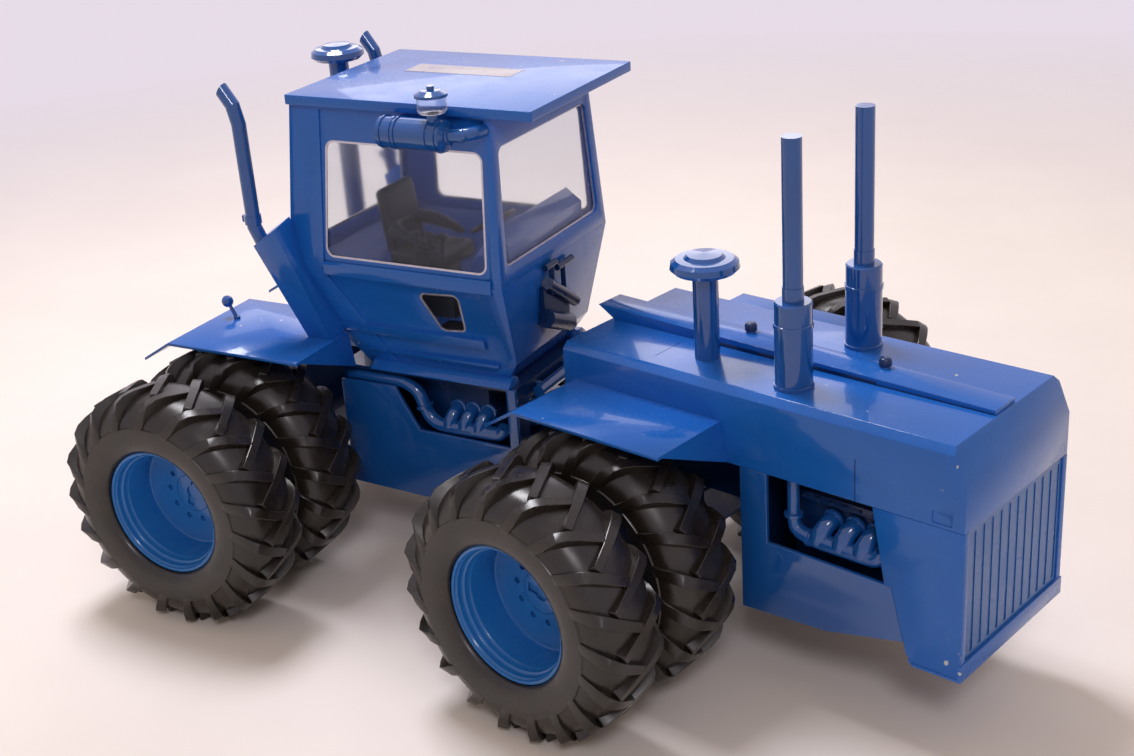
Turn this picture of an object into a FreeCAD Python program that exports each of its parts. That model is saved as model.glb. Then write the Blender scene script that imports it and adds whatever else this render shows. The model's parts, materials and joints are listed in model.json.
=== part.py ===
import FreeCAD, Part
import math
import os

# Scale model of an articulated four-wheel-drive farm tractor with dual tyres and two engines.
# Millimetres. Each half is drawn straight: +X forward, +Y left, +Z up, with z = 0 on the line of
# the axles. The front half has its axle at x = 0. The rear half has the frame pivot at x = 0 and
# is then swung about it. At the end the whole model is lifted until the tyres stand on the floor
# and moved so that the origin is on the floor under its middle.

V = FreeCAD.Vector

# ---------------------------------------------------------------- driving dimensions
TYRE_R = 57.2                    # to the lug tips
TYRE_W = 37.6
WHEELBASE = 219.0
PIVOT_SHARE = 0.411              # of the wheelbase, from the front axle to the frame pivot
STEER_DEG = 13.3                 # the rear half is parked swung to the left
STEER_MAX = 33.0                 # each way
BODY_HALF_W = 40.0               # half width of the bonnet and the front frame
BODY_TOP_Z = 75.2
BODY_SKIRT_Z = 42.5              # lower edge of the bonnet
NOSE_X = 148.1
CAB_HALF_W = 48.9                # at the waist, where the cab is widest
CAB_WAIST_Z = 94.4
ROOF_TOP_Z = 172.2
SHEET = 2.0                      # body plate
FIT_GAP = 0.05                   # radial clearance of a running pin

# ---------------------------------------------------------------- sizes that follow
PIVOT_BACK = PIVOT_SHARE * WHEELBASE
REAR_AXLE_X = PIVOT_BACK - WHEELBASE
FENDER_Z = TYRE_R + 2.8          # top face of the flat wings
FENDER_T = 1.4
FENDER_REACH = 40.0              # how far a wing stands out from the body
TAIL_RUN = 16.0                  # the wing's rear edge is bent down: along and down
TAIL_DROP = 9.6
TYRE_GAP = 9.0                   # between the two tyres of a corner
INNER_Y = BODY_HALF_W + 7.2 + TYRE_W / 2
OUTER_Y = INNER_Y + TYRE_W + TYRE_GAP
DUAL_MID_Y = (INNER_Y + OUTER_Y) / 2
RIM_R = 0.522 * TYRE_R
LIP_IN = 4.2                     # how far a rim's lips lie inside the tyre's sides
DISC_IN = 6.4                    # and the wheel disc inside the tyre's middle
HUB_R = 9.0
AXLE_PIN_R = 4.0
AXLE_TUBE_R = 8.0
BELL = 12.0                      # half size of the axle's middle housing
LUGS = 15                        # on each side of the tread
LUG_H = 4.2

HOOD_BACK_X = -41.0
HOOD_FRONT_X = NOSE_X - 6.0      # where the top turns down to the sloping brow
BROW_Z = BODY_TOP_Z - 14.8
SHOULDER = 2.9                   # chamfer along the bonnet's top edges
NOSE_LOW_Z = -19.2
OPEN_X1 = NOSE_X - 37.5          # engine opening in the side plates, front and rear edge
OPEN_X0 = OPEN_X1 - 48.6
SILL_Z = 11.1                    # and its lower edge
PANEL_BACK_X = OPEN_X0 - 12.5
NOSE_LEAN = 14.6 / 58.0          # how far the nose panel's rear edge leans per mm of height
FRAME_LOW_Z = -21.0
STACK_X = OPEN_X0 + 3.3
STACK_Y = 24.9

CAB_BACK_X = REAR_AXLE_X + 28.0
CAB_FRONT_X = 10.1
CAB_LOW_Z = 42.0
CAB_LOW_HALF = CAB_HALF_W - 19.3
CAB_FLARE = (CAB_HALF_W - CAB_LOW_HALF) / (CAB_WAIST_Z - CAB_LOW_Z)
FLOOR_Z = CAB_WAIST_Z - 23.4
ROOF_T = 4.3
ROOF_LOW_Z = ROOF_TOP_Z - ROOF_T
CAB_NARROW = 5.9                 # how much each upper side leans in up to the roof
REAR_HALF_W = BODY_HALF_W - 3.0
REAR_FRONT_X = 5.0
REAR_PLATE_X = REAR_AXLE_X + 39.0
REAR_BACK_X = REAR_AXLE_X - 31.0
REAR_FENDER_Z = FENDER_Z - 0.6

PIN_R = 4.0                      # pivot pin
TONGUE_Z = (5.0, 13.0)           # the front half's tongue, between the rear half's two lugs
LUG_LOW_Z = (-3.0, 2.0)
LUG_TOP_Z = (16.0, 21.0)
BEAM_Z = 13.0                    # underside of the centre beams
RAM_Z = 28.4                     # steering rams, above the pivot
RAM_Y = 14.0                     # their pins on the rear half, beside the pivot
RAM_TIP_X = HOOD_BACK_X - 6.0    # their eyes on the front half
RAM_TIP_Y = 16.0
RAM_R = 2.1
RAM_ROD_R = 1.2
RAM_EYE_R = 2.4
HITCH_R = 1.6
HITCH_X = REAR_BACK_X - 22.0

shapes = {}


# ---------------------------------------------------------------- helpers
def box(x0, x1, y0, y1, z0, z1):
    return Part.makeBox(x1 - x0, y1 - y0, z1 - z0, V(x0, y0, z0))


def face_of(points):
    return Part.Face(Part.makePolygon(points + [points[0]]))


def prism_xz(points, y0, y1):
    """A side-view outline [(x, z), ...] as thick as y0 to y1."""
    return face_of([V(x, y0, z) for x, z in points]).extrude(V(0, y1 - y0, 0))


def prism_yz(points, x0, x1):
    """A front-view outline [(y, z), ...] from x0 to x1."""
    return face_of([V(x0, y, z) for y, z in points]).extrude(V(x1 - x0, 0, 0))


def prism_xy(points, z0, z1):
    """A top-view outline [(x, y), ...] from z0 to z1."""
    return face_of([V(x, y, z0) for x, y in points]).extrude(V(0, 0, z1 - z0))


def rod(p0, p1, r):
    """A round bar between two points."""
    a, b = V(*p0), V(*p1)
    return Part.makeCylinder(r, (b - a).Length, a, b - a)


def bent_pipe(points, r):
    """A round pipe swept along straight runs with mitred bends."""
    path = Part.makePolygon([V(*p) for p in points])
    start = V(*points[0])
    ring = Part.Wire(Part.makeCircle(r, start, V(*points[1]) - start))
    sweep = Part.BRepOffsetAPI.MakePipeShell(path)
    sweep.setTransitionMode(1)
    sweep.add(ring)
    sweep.build()
    sweep.makeSolid()
    return sweep.shape()


def turned(profile, centre, axis):
    """Revolve [(radius, height along axis), ...] about an axis through centre."""
    points = [V(r, 0, h) for r, h in profile]
    solid = face_of(points).revolve(V(0, 0, 0), V(0, 0, 1), 360)
    solid.Placement = FreeCAD.Placement(V(*centre), FreeCAD.Rotation(V(0, 0, 1), V(*axis)))
    return solid


def faceted_ring(profile, sides):
    """A many-sided ring about +Y from [(radius, y), ...], made of flat faces."""
    faces = []
    for (r0, y0), (r1, y1) in zip(profile, profile[1:] + profile[:1]):
        for k in range(sides):
            a0 = 2 * math.pi * (k + 0.5) / sides
            a1 = 2 * math.pi * (k + 1.5) / sides
            faces.append(face_of([V(r0 * math.sin(a0), y0, r0 * math.cos(a0)),
                                  V(r0 * math.sin(a1), y0, r0 * math.cos(a1)),
                                  V(r1 * math.sin(a1), y1, r1 * math.cos(a1)),
                                  V(r1 * math.sin(a0), y1, r1 * math.cos(a0))]))
    solid = Part.Solid(Part.Shell(faces))
    if solid.Volume < 0:
        solid.reverse()
    return solid


def mirrored(shape):
    return shape.mirror(V(0, 0, 0), V(0, 1, 0))


def both_sides(shape):
    """The right-hand piece and its left-hand twin, as one shape."""
    return Part.makeCompound([shape, mirrored(shape)])


def rounded(body, r, direction):
    """Round the edges of a prism that run along one direction."""
    edges = [e for e in body.Edges if abs(e.tangentAt(e.FirstParameter).dot(direction)) > 0.99]
    return body.makeFillet(r, edges)


def fuse_all(parts):
    return parts[0].fuse(parts[1:]).removeSplitter()


def along(p, q, shape):
    """Stand a shape drawn up +Z from the origin on p, leaning towards q."""
    moved = shape.copy()
    moved.Placement = FreeCAD.Placement(V(*p), FreeCAD.Rotation(V(0, 0, 1), V(*q) - V(*p)))
    return moved


def front(name, shape):
    shapes[name] = shape


def rear(name, shape):
    """Store a piece of the rear half, swung about the pivot to its parked place."""
    moved = shape.copy()
    moved.rotate(V(0, 0, 0), V(0, 0, 1), STEER_DEG)
    moved.translate(V(-PIVOT_BACK, 0, 0))
    shapes[name] = moved


# ---------------------------------------------------------------- wheels
def lug_bar():
    """One slanting tread lug with a sharp crest, on the +Y side of the tread."""
    slant = 5.0
    base = 4.0
    root = TYRE_R - LUG_H - 9.5
    crest = math.sqrt(TYRE_R ** 2 - slant ** 2)
    section = face_of([V(-slant - base, -0.8, root), V(-slant + base, -0.8, root),
                       V(-slant, -0.8, crest)])
    return section.extrude(V(2 * slant, TYRE_W / 2 - 0.7, 0))


def tyre():
    """A lugged tyre about +Y. It has one flat side for each lug."""
    half = TYRE_W / 2
    crown = TYRE_R - LUG_H
    bead = RIM_R / math.cos(math.pi / LUGS)
    inside = half - LIP_IN + 0.2
    ring = faceted_ring([(bead, -inside), (crown - 10.0, -half), (crown, -half + 5.0),
                         (crown, half - 5.0), (crown - 10.0, half), (bead, inside)], LUGS)
    lugs = []
    for k in range(LUGS):
        pitch = 360.0 / LUGS
        left = lug_bar()
        right = mirrored(lug_bar())
        left.rotate(V(0, 0, 0), V(0, 1, 0), pitch * (k + 0.5))
        right.rotate(V(0, 0, 0), V(0, 1, 0), pitch * k)
        lugs += [left, right]
    return fuse_all([ring] + lugs)


def rims():
    """Both deep rims of a corner on one hub with a key slot in its outer face, which is at -Y."""
    lip = RIM_R - 0.1
    well = lip - 4.4
    half = TYRE_W / 2 - LIP_IN
    spread = (OUTER_Y - INNER_Y) / 2
    face = DISC_IN - spread
    profile = [(0, face)]
    for y in (-spread, spread):
        profile += [(well, y + DISC_IN), (well, y - half + 5.5), (lip - 1.6, y - half),
                    (lip, y - half), (lip, y + half), (lip - 1.6, y + half),
                    (well, y + half - 5.5), (well, y + DISC_IN + 2.4), (HUB_R, y + DISC_IN + 2.4)]
        if y < 0:
            profile.append((HUB_R, spread + DISC_IN))
    profile.append((0, spread + DISC_IN + 2.4))
    body = turned(profile, (0, 0, 0), (0, 1, 0))
    key = box(-7.0, 7.0, face - 1.0, face + 1.0, -1.9, 1.9)
    eye = Part.makeCylinder(3.5, 2.0, V(0, face - 1.0, 0), V(0, 1, 0))
    bore = Part.makeCylinder(AXLE_PIN_R + FIT_GAP, 2 * spread + 0.2, V(0, face + 2.2, 0),
                             V(0, 1, 0))
    return body.cut([key, eye, bore])


def wheel_set(store, place, x):
    one_tyre = tyre()
    one_rims = rims()
    for side, mirror in (("right", False), ("left", True)):
        for name, shape, y in (("tyre_outer", one_tyre, -OUTER_Y),
                               ("tyre_inner", one_tyre, -INNER_Y), ("rims", one_rims, -DUAL_MID_Y)):
            piece = shape.copy()
            piece.translate(V(x, y, 0))
            if mirror:
                piece = mirrored(piece)
            store(name + "_" + place + "_" + side, piece)


def axle(x):
    """A round tube with a squarish housing in its middle and pins for the hubs at its ends."""
    reach = BODY_HALF_W + 7.0
    pin_y = OUTER_Y - DISC_IN - 3.2
    tube = rod((x, -reach, 0), (x, reach, 0), AXLE_TUBE_R)
    pin = rod((x, -pin_y, 0), (x, pin_y, 0), AXLE_PIN_R)
    bell = rounded(box(x - BELL, x + BELL, -15.0, 15.0, -BELL, BELL), 3.0, V(0, 1, 0))
    return fuse_all([tube, pin, bell])


# ---------------------------------------------------------------- front half
def hood_section(inset):
    """Front view of the bonnet, drawn in by inset, open at the bottom."""
    w = BODY_HALF_W - inset
    t = BODY_TOP_Z - inset
    low = BODY_SKIRT_Z - (1 if inset else 0)
    return [(-w, low), (-w, t - SHOULDER), (-w + SHOULDER, t), (w - SHOULDER, t),
            (w, t - SHOULDER), (w, low)]


def hood():
    w = BODY_HALF_W
    t = BODY_TOP_Z
    s = SHEET
    side = [(HOOD_BACK_X, BODY_SKIRT_Z), (HOOD_BACK_X, t + 1), (HOOD_FRONT_X - 0.4, t + 1),
            (HOOD_FRONT_X, t), (NOSE_X, BROW_Z), (NOSE_X, BODY_SKIRT_Z)]
    body = prism_yz(hood_section(0), HOOD_BACK_X, NOSE_X).common(prism_xz(side, -w, w))
    room = [(HOOD_BACK_X + s, BODY_SKIRT_Z - 1), (HOOD_BACK_X + s, t), (HOOD_FRONT_X - 1.5, t),
            (NOSE_X - s, BROW_Z - 0.8), (NOSE_X - s, BODY_SKIRT_Z - 1)]
    space = prism_yz(hood_section(s), HOOD_BACK_X + s, NOSE_X - s)
    body = body.cut(space.common(prism_xz(room, -w, w)))
    recess = box(NOSE_X - 13.5, NOSE_X - 5.3, -w - 1, -w + 0.8, BODY_SKIRT_Z + 1.3,
                 BODY_SKIRT_Z + 6.1)
    return body.cut([recess, mirrored(recess)])


def hood_spine():
    """Raised strip along the bonnet, highest at the rear, with two filler caps."""
    t = BODY_TOP_Z
    x0 = HOOD_BACK_X - 7.3
    x1 = HOOD_FRONT_X - 0.8
    side = [(HOOD_BACK_X + 1.0, t), (x0, t + 5.0), (x1, t + 1.9), (x1, t)]
    body = prism_xz(side, -7.3, 7.3)
    caps = []
    for x in (24.3, 88.0):
        z = t + 5.0 - 3.1 * (x - x0) / (x1 - x0)
        caps.append(Part.makeCylinder(2.0, 4.4, V(x, 4.4, z - 1.0), V(0, 0, 1)))
    return body.fuse(caps)


def nose_edge(z):
    """Where the leaning rear edge of the nose cheeks is at a height."""
    return OPEN_X1 + NOSE_LEAN * (BODY_SKIRT_Z - z)


def nose():
    """Cheeks, face and sill around the grille opening."""
    w = BODY_HALF_W
    low = NOSE_LOW_Z
    top = BODY_SKIRT_Z - 0.1
    knee = low + 3.5
    over = SILL_Z + 0.2
    side = [(nose_edge(top) - 0.6, top), (nose_edge(over) - 3.0, over), (nose_edge(over), over),
            (nose_edge(knee), knee), (nose_edge(knee) + 4.3, low), (NOSE_X, low), (NOSE_X, top)]
    cheek = prism_xz(side, -w, -w + SHEET)
    face = box(NOSE_X - SHEET, NOSE_X, -w, w, low, top)
    opening = box(NOSE_X - SHEET - 1, NOSE_X + 1, -w + 3.2, w - 3.2, low + 6.8, top + 20.0)
    sill = box(nose_edge(knee) + 1.0, NOSE_X, -w, w, low, low + SHEET)
    tray = box(nose_edge(knee) + 2.5, NOSE_X + 0.5, -w - 0.5, w + 0.5, low - 0.6, low + 0.5)
    lip = box(NOSE_X - 1.0, NOSE_X + 0.5, -w - 0.5, w + 0.5, low - 0.6, low + 6.8)
    return fuse_all([cheek, mirrored(cheek), face.cut(rounded(opening, 1.5, V(1, 0, 0))), sill,
                     tray, lip])


def grille():
    """A plate with upright slots, standing just inside the nose's opening."""
    w = BODY_HALF_W - 3.4
    x1 = NOSE_X - 0.6
    low = NOSE_LOW_Z + 7.0
    top = BODY_SKIRT_Z - 0.3
    plate = box(x1 - 1.6, x1, -w, w, low, top)
    slots = 11
    pitch = 2 * w / (slots + 0.2)
    cuts = []
    for k in range(slots):
        y = -w + pitch * (k + 0.8)
        cuts.append(box(x1 - 0.9, x1 + 1, y - pitch * 0.15, y + pitch * 0.15, low + 2.0, top - 2.0))
    return plate.cut(cuts + [nose()])


def front_side_plate():
    """Deep plate beside the engine, open above its sill, up to the bonnet's skirt."""
    w = BODY_HALF_W
    top = BODY_SKIRT_Z - 0.1
    gap = 0.2
    front_low = FRAME_LOW_Z + 10.0
    plate = [(PANEL_BACK_X, FRAME_LOW_Z), (OPEN_X1 - 21.4, FRAME_LOW_Z + 2.2),
             (nose_edge(front_low) - gap, front_low), (nose_edge(SILL_Z) - gap, SILL_Z),
             (OPEN_X0, SILL_Z + 1.0), (OPEN_X0, top), (PANEL_BACK_X, top)]
    return prism_xz(plate, -w, -w + SHEET)


def front_frame():
    """Floor, bulkhead, centre beam with the pivot tongue, rear wall and ram shelves."""
    w = BODY_HALF_W - SHEET
    top = BODY_SKIRT_Z - 0.1
    back = HOOD_BACK_X - 3.0
    floor = box(PANEL_BACK_X, OPEN_X1 + 11.4, -w, w, -11.0, -9.0)
    bulkhead = box(PANEL_BACK_X, PANEL_BACK_X + SHEET, -w, w, -11.0, top)
    beam = box(back, PANEL_BACK_X + 1, -16.0, 16.0, BEAM_Z, top)
    back_wall = box(back, HOOD_BACK_X, -w + 4.0, w - 4.0, 1.0, top)
    tongue = box(-PIVOT_BACK, HOOD_BACK_X, -10.0, 10.0, *TONGUE_Z)
    eye = Part.makeCylinder(10.0, TONGUE_Z[1] - TONGUE_Z[0], V(-PIVOT_BACK, 0, TONGUE_Z[0]),
                            V(0, 0, 1))
    saddle = box(-BELL - 1, BELL + 1, -16.0, 16.0, BELL, BEAM_Z + 2.0)
    shelves = []
    for y in (-RAM_TIP_Y, RAM_TIP_Y):
        shelves.append(box(RAM_TIP_X - 3.0, back + 1.0, y - 3.5, y + 3.5, RAM_Z - 4.6, RAM_Z - 2.4))
    body = fuse_all([floor, bulkhead, beam, back_wall, tongue, eye, saddle] + shelves)
    bore = Part.makeCylinder(PIN_R + FIT_GAP, 30.0, V(-PIVOT_BACK, 0, -5.0), V(0, 0, 1))
    return body.cut(bore)


def fender_tail(x, z, y0, y1):
    """The rear of a wing, bent down."""
    low = z - TAIL_DROP
    return prism_xz([(x, z), (x - TAIL_RUN, low), (x - TAIL_RUN, low - FENDER_T), (x, z - FENDER_T)],
                    y0, y1)


def fender_flap(x, z, outer, inner):
    """Triangular plate that closes the front of a wing down to the body's side."""
    flap = face_of([V(x, outer, z), V(x, inner, z), V(x + 2.5, inner, BODY_SKIRT_Z)])
    return flap.extrude(V(-FENDER_T, 0, 0))


def front_fender():
    inner = -BODY_HALF_W
    outer = inner - FENDER_REACH
    x0, x1 = -34.5, 41.0
    plate = box(x0, x1, outer, inner, FENDER_Z - FENDER_T, FENDER_Z)
    return fuse_all([plate, fender_flap(x1, FENDER_Z, outer, inner),
                     fender_tail(x0, FENDER_Z, outer, inner)])


def stack(x, y):
    """Round silencer with two bands, a sleeve and a plain pipe above it."""
    profile = [(0, 0), (7.9, 0), (7.9, 1.4), (7.4, 1.6), (7.4, 24.6), (7.8, 24.8), (7.8, 26.4),
               (7.4, 26.6), (7.4, 34.6), (6.8, 35.2), (4.2, 35.2), (4.2, 41.0), (3.9, 41.0),
               (3.9, 99.0), (0, 99.0)]
    return turned(profile, (x, y, BODY_TOP_Z), (0, 0, 1))


def mushroom(x, y, z0, z1, stem_r, cap_r):
    """Intake stem from z0 to the round cap's underside at z1, turned in one piece."""
    h = z1 - z0
    profile = [(0, 0), (stem_r, 0), (stem_r, h), (cap_r - 1.6, h + 1.0), (cap_r, h + 2.6),
               (cap_r - 0.4, h + 5.0), (cap_r - 2.4, h + 6.4), (cap_r * 0.6, h + 6.6),
               (cap_r * 0.5, h + 8.0), (0, h + 8.6)]
    return turned(profile, (x, y, z0), (0, 0, 1))


def front_engine():
    return box(OPEN_X0 + 6.0, OPEN_X1 + 11.4, -28.0, 28.0, -3.0, BODY_TOP_Z - 12.2)


def front_manifold():
    """Exhaust log with three runners and a riser into the bonnet."""
    y = -BODY_HALF_W + 5.0
    x = OPEN_X0 + 9.0
    z = SILL_Z + 5.9
    log = bent_pipe([(x, y, BODY_SKIRT_Z - 0.5), (x, y, z + 6.5), (x + 2.4, y, z + 1.8),
                     (x + 6.6, y, z), (x + 37.3, y, z), (x + 40.8, y, z + 0.9)], 2.6)
    flange = rod((x, y, z + 9.0), (x, y, z + 7.2), 3.9)
    runners = []
    for step in (10.8, 20.7, 30.3):
        runners.append(bent_pipe([(x + step, y, z + 0.5), (x + step + 1.5, y + 0.5, z + 5.5),
                                  (x + step + 3.2, -27.0, z + 11.0)], 2.5))
    return log.fuse([flange] + runners).cut(front_engine())


def build_front():
    front("front_frame", front_frame())
    front("front_side_plates", both_sides(front_side_plate()))
    front("front_axle", axle(0.0))
    front("hood", hood())
    front("hood_spine", hood_spine())
    front("nose", nose())
    front("grille", grille())
    front("front_engine", front_engine())
    front("front_manifolds", both_sides(front_manifold()))
    front("front_fenders", both_sides(front_fender()))
    front("exhaust_stacks", both_sides(stack(STACK_X, -STACK_Y)))
    front("front_intake", mushroom(19.7, -19.4, BODY_TOP_Z, BODY_TOP_Z + 36.0, 5.2, 14.1))
    pin_low = LUG_LOW_Z[0] - 0.5
    pin_top = LUG_TOP_Z[1] + 0.5
    pin = Part.makeCylinder(PIN_R, pin_top - pin_low, V(-PIVOT_BACK, 0, pin_low), V(0, 0, 1))
    head = Part.makeCylinder(PIN_R + 2.5, 2.0, V(-PIVOT_BACK, 0, pin_top), V(0, 0, 1))
    front("pivot_pin", pin.fuse(head))
    wheel_set(front, "front", 0.0)


# ---------------------------------------------------------------- rear half
def cab_half(z):
    """Half width of the cab below its waist."""
    return CAB_HALF_W - CAB_FLARE * (CAB_WAIST_Z - z)


def cab_lower_outline(s):
    """Side view of the cab below the waist, drawn in by s."""
    top = CAB_WAIST_Z + (1 if s else 0)
    return [(CAB_BACK_X - 1.3 + s, top), (CAB_FRONT_X - s, top),
            (CAB_FRONT_X - 4.6 - s, CAB_LOW_Z + 12.0 + s * 0.6),
            (CAB_FRONT_X - 13.1 - s, CAB_LOW_Z + s), (CAB_BACK_X + 24.4 + s, CAB_LOW_Z + s),
            (CAB_BACK_X + 12.3 + s, CAB_LOW_Z + 19.0)]


def wedge(z0, half0, z1, half1):
    """Long prism whose front view narrows from half1 at z1 to half0 at z0."""
    return prism_yz([(-half0, z0), (half0, z0), (half1, z1), (-half1, z1)], CAB_BACK_X - 40.0,
                    CAB_FRONT_X + 40.0)


def cab_lower_solid():
    solid = prism_xz(cab_lower_outline(0), -2 * CAB_HALF_W, 2 * CAB_HALF_W)
    return solid.common(wedge(CAB_LOW_Z, CAB_LOW_HALF, CAB_WAIST_Z, CAB_HALF_W))


SIDE_WALL = 2.4                  # cab sides below the waist
SIDE_SUNK = 1.0                  # their panels stand back between the strut and the front post


def ledge(x0, x1, z0, z1, proud):
    """Strip along the cab's flared side, its outer face parallel to the side."""
    y0, y1 = cab_half(z0), cab_half(z1)
    return prism_yz([(-y0 - proud, z0), (-y1 - proud, z1), (-y1 + 1.6, z1), (-y0 + 1.6, z0)], x0, x1)


def side_beam():
    """Box rail under the side window. It covers the joint at the waist."""
    z = CAB_WAIST_Z
    y = -CAB_HALF_W
    return prism_yz([(y + 3.6, z - 3.8), (y + 1.9, z - 3.8), (y - 1.0, z - 2.4), (y - 1.0, z + 2.2),
                     (y - 0.1, z + 3.4), (y + 1.05, z + 3.4), (y + 1.05, z), (y + 2.3, z)],
                    CAB_BACK_X + 18.7, CAB_FRONT_X - 5.1)


def cab_skirt():
    """Slanting strip from the cab's bottom edge out to the side plate."""
    z = CAB_LOW_Z
    top = z + 3.6
    edge = -REAR_HALF_W - 0.2
    return prism_yz([(-CAB_LOW_HALF + 2.0, z), (edge, z), (edge, z + 0.6),
                     (-cab_half(top) - 2.7, top), (-cab_half(top) + 2.0, top)],
                    CAB_BACK_X + 29.0, CAB_FRONT_X - 8.1)


def small_window():
    """The prism that cuts the small window low in the right side."""
    z = CAB_WAIST_Z
    cut = prism_xz([(-36.6, z - 7.4), (-14.4, z - 6.0), (-16.5, z - 26.4), (-29.5, z - 27.9)],
                   -2 * CAB_HALF_W, -CAB_LOW_HALF)
    return rounded(cut, 3.2, V(0, 1, 0))


def cab_lower():
    """Shell of the cab below the waist, with its floor, side ledges and small windows."""
    wide = 2 * CAB_HALF_W
    top = CAB_WAIST_Z
    low = CAB_LOW_Z
    panel = prism_xz([(CAB_BACK_X + 16.7, top), (CAB_BACK_X + 40.8, low + 2.0),
                      (CAB_FRONT_X - 22.1, low + 2.0), (CAB_FRONT_X - 6.3, low + 15.0),
                      (CAB_FRONT_X - 10.3, top - 6.2), (CAB_FRONT_X - 11.1, top)], -wide, wide)
    core = wedge(low, CAB_LOW_HALF - SIDE_SUNK, top, CAB_HALF_W - SIDE_SUNK)
    body = cab_lower_solid()
    body = body.cut(body.common(panel).cut(core))
    room = prism_xz(cab_lower_outline(SHEET), -wide, wide)
    room = room.common(wedge(low, CAB_LOW_HALF - SIDE_WALL, top + 1, cab_half(top + 1) - SIDE_WALL))
    floor = body.common(box(CAB_BACK_X - 20, CAB_FRONT_X + 20, -wide, wide, FLOOR_Z - 2.0, FLOOR_Z))
    pieces = [floor]
    for strip in (ledge(CAB_BACK_X + 13.6, CAB_FRONT_X - 17.9, low + 18.3, low + 23.0, 1.2),
                  ledge(CAB_BACK_X + 26.3, CAB_FRONT_X - 14.2, low + 8.0, low + 9.6, 1.2),
                  side_beam(), cab_skirt()):
        pieces += [strip, mirrored(strip)]
    window = small_window()
    return body.cut(room).fuse(pieces).cut([window, mirrored(window)])


def small_pane():
    """Sheet in the small window, just behind the panel's face."""
    outer, inner = CAB_LOW_HALF - SIDE_SUNK - 0.4, CAB_LOW_HALF - SIDE_SUNK - 1.2
    rise = CAB_HALF_W - CAB_LOW_HALF
    sheet = wedge(CAB_LOW_Z, outer, CAB_WAIST_Z, outer + rise)
    return sheet.cut(wedge(CAB_LOW_Z, inner, CAB_WAIST_Z, inner + rise)).common(small_window())


def upper_solid(inset):
    """The cab above the waist as a solid, its four faces set in by inset."""
    side = [(CAB_BACK_X + inset, CAB_WAIST_Z), (CAB_FRONT_X - inset, CAB_WAIST_Z),
            (CAB_FRONT_X - 2.7 - inset, ROOF_LOW_Z), (CAB_BACK_X + 6.2 + inset, ROOF_LOW_Z)]
    half = CAB_HALF_W - inset
    return prism_xz(side, -2 * CAB_HALF_W, 2 * CAB_HALF_W).common(
        wedge(CAB_WAIST_Z, half, ROOF_LOW_Z, half - CAB_NARROW))


def window_cuts():
    """The prisms that cut the side, front and rear windows."""
    low = CAB_WAIST_Z + 5.1
    top = ROOF_LOW_Z - 15.4
    wide = 1.3 * CAB_HALF_W
    side = prism_xz([(CAB_BACK_X + 19.2, low), (CAB_FRONT_X - 7.7, low), (CAB_FRONT_X - 7.6, top),
                     (CAB_BACK_X + 23.5, top)], -wide, -0.4 * CAB_HALF_W)
    side = rounded(side, 4.5, V(0, 1, 0))
    across = []
    half0, half1 = CAB_HALF_W - 6.4, CAB_HALF_W - 10.1
    for x0, x1 in ((CAB_FRONT_X - 14.1, CAB_FRONT_X + 10.0), (CAB_BACK_X - 19.0, CAB_BACK_X + 13.0)):
        pane = prism_yz([(-half0, low + 2.5), (half0, low + 2.5), (half1, top + 1.5),
                         (-half1, top + 1.5)], x0, x1)
        across.append(rounded(pane, 4.0, V(1, 0, 0)))
    return side, mirrored(side), across[0], across[1]


POST_PROUD = 1.1                 # the side panels stand back behind the posts by this much
WALL = 2.8                       # upper cab wall, posts included
GLASS = (1.6, 2.4)               # the panes' outer and inner face, measured in from the posts


def cab_frame():
    """Posts and panels above the waist; the side panels stand back behind the posts."""
    outer = upper_solid(0)
    band = prism_xz([(CAB_BACK_X + 18.4, CAB_WAIST_Z), (CAB_FRONT_X - 4.9, CAB_WAIST_Z),
                     (CAB_FRONT_X - 5.7, ROOF_LOW_Z - 1.9), (CAB_BACK_X + 22.0, ROOF_LOW_Z - 1.9)],
                    -2 * CAB_HALF_W, 2 * CAB_HALF_W)
    recess = outer.cut(upper_solid(POST_PROUD)).common(band)
    return outer.cut([upper_solid(WALL), recess] + list(window_cuts()))


def panes():
    sheet = upper_solid(GLASS[0]).cut(upper_solid(GLASS[1]))
    return [sheet.common(cut) for cut in window_cuts()]


def roof():
    half = CAB_HALF_W - 2.9
    slab = box(CAB_BACK_X + 6.2, CAB_FRONT_X + 18.8, -half, half, ROOF_LOW_Z, ROOF_TOP_Z)
    return rounded(slab, 0.8, V(0, 0, 1))


def rear_side_plate():
    """Deep plate with a long opening for the engine, closed by an upright bar at the front."""
    w = REAR_HALF_W
    top = CAB_LOW_Z - 0.1
    low = FRAME_LOW_Z
    plate = [(REAR_PLATE_X, low + 2.0), (-41.0, low), (REAR_FRONT_X, low + 2.0),
             (REAR_FRONT_X, top), (0.3, top), (0.3, SILL_Z + 2.0), (-48.4, SILL_Z + 3.0),
             (-58.0, top - 11.4), (-60.0, top - 7.4), (REAR_PLATE_X, top - 7.4)]
    return prism_xz(plate, -w, -w + SHEET)


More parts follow.
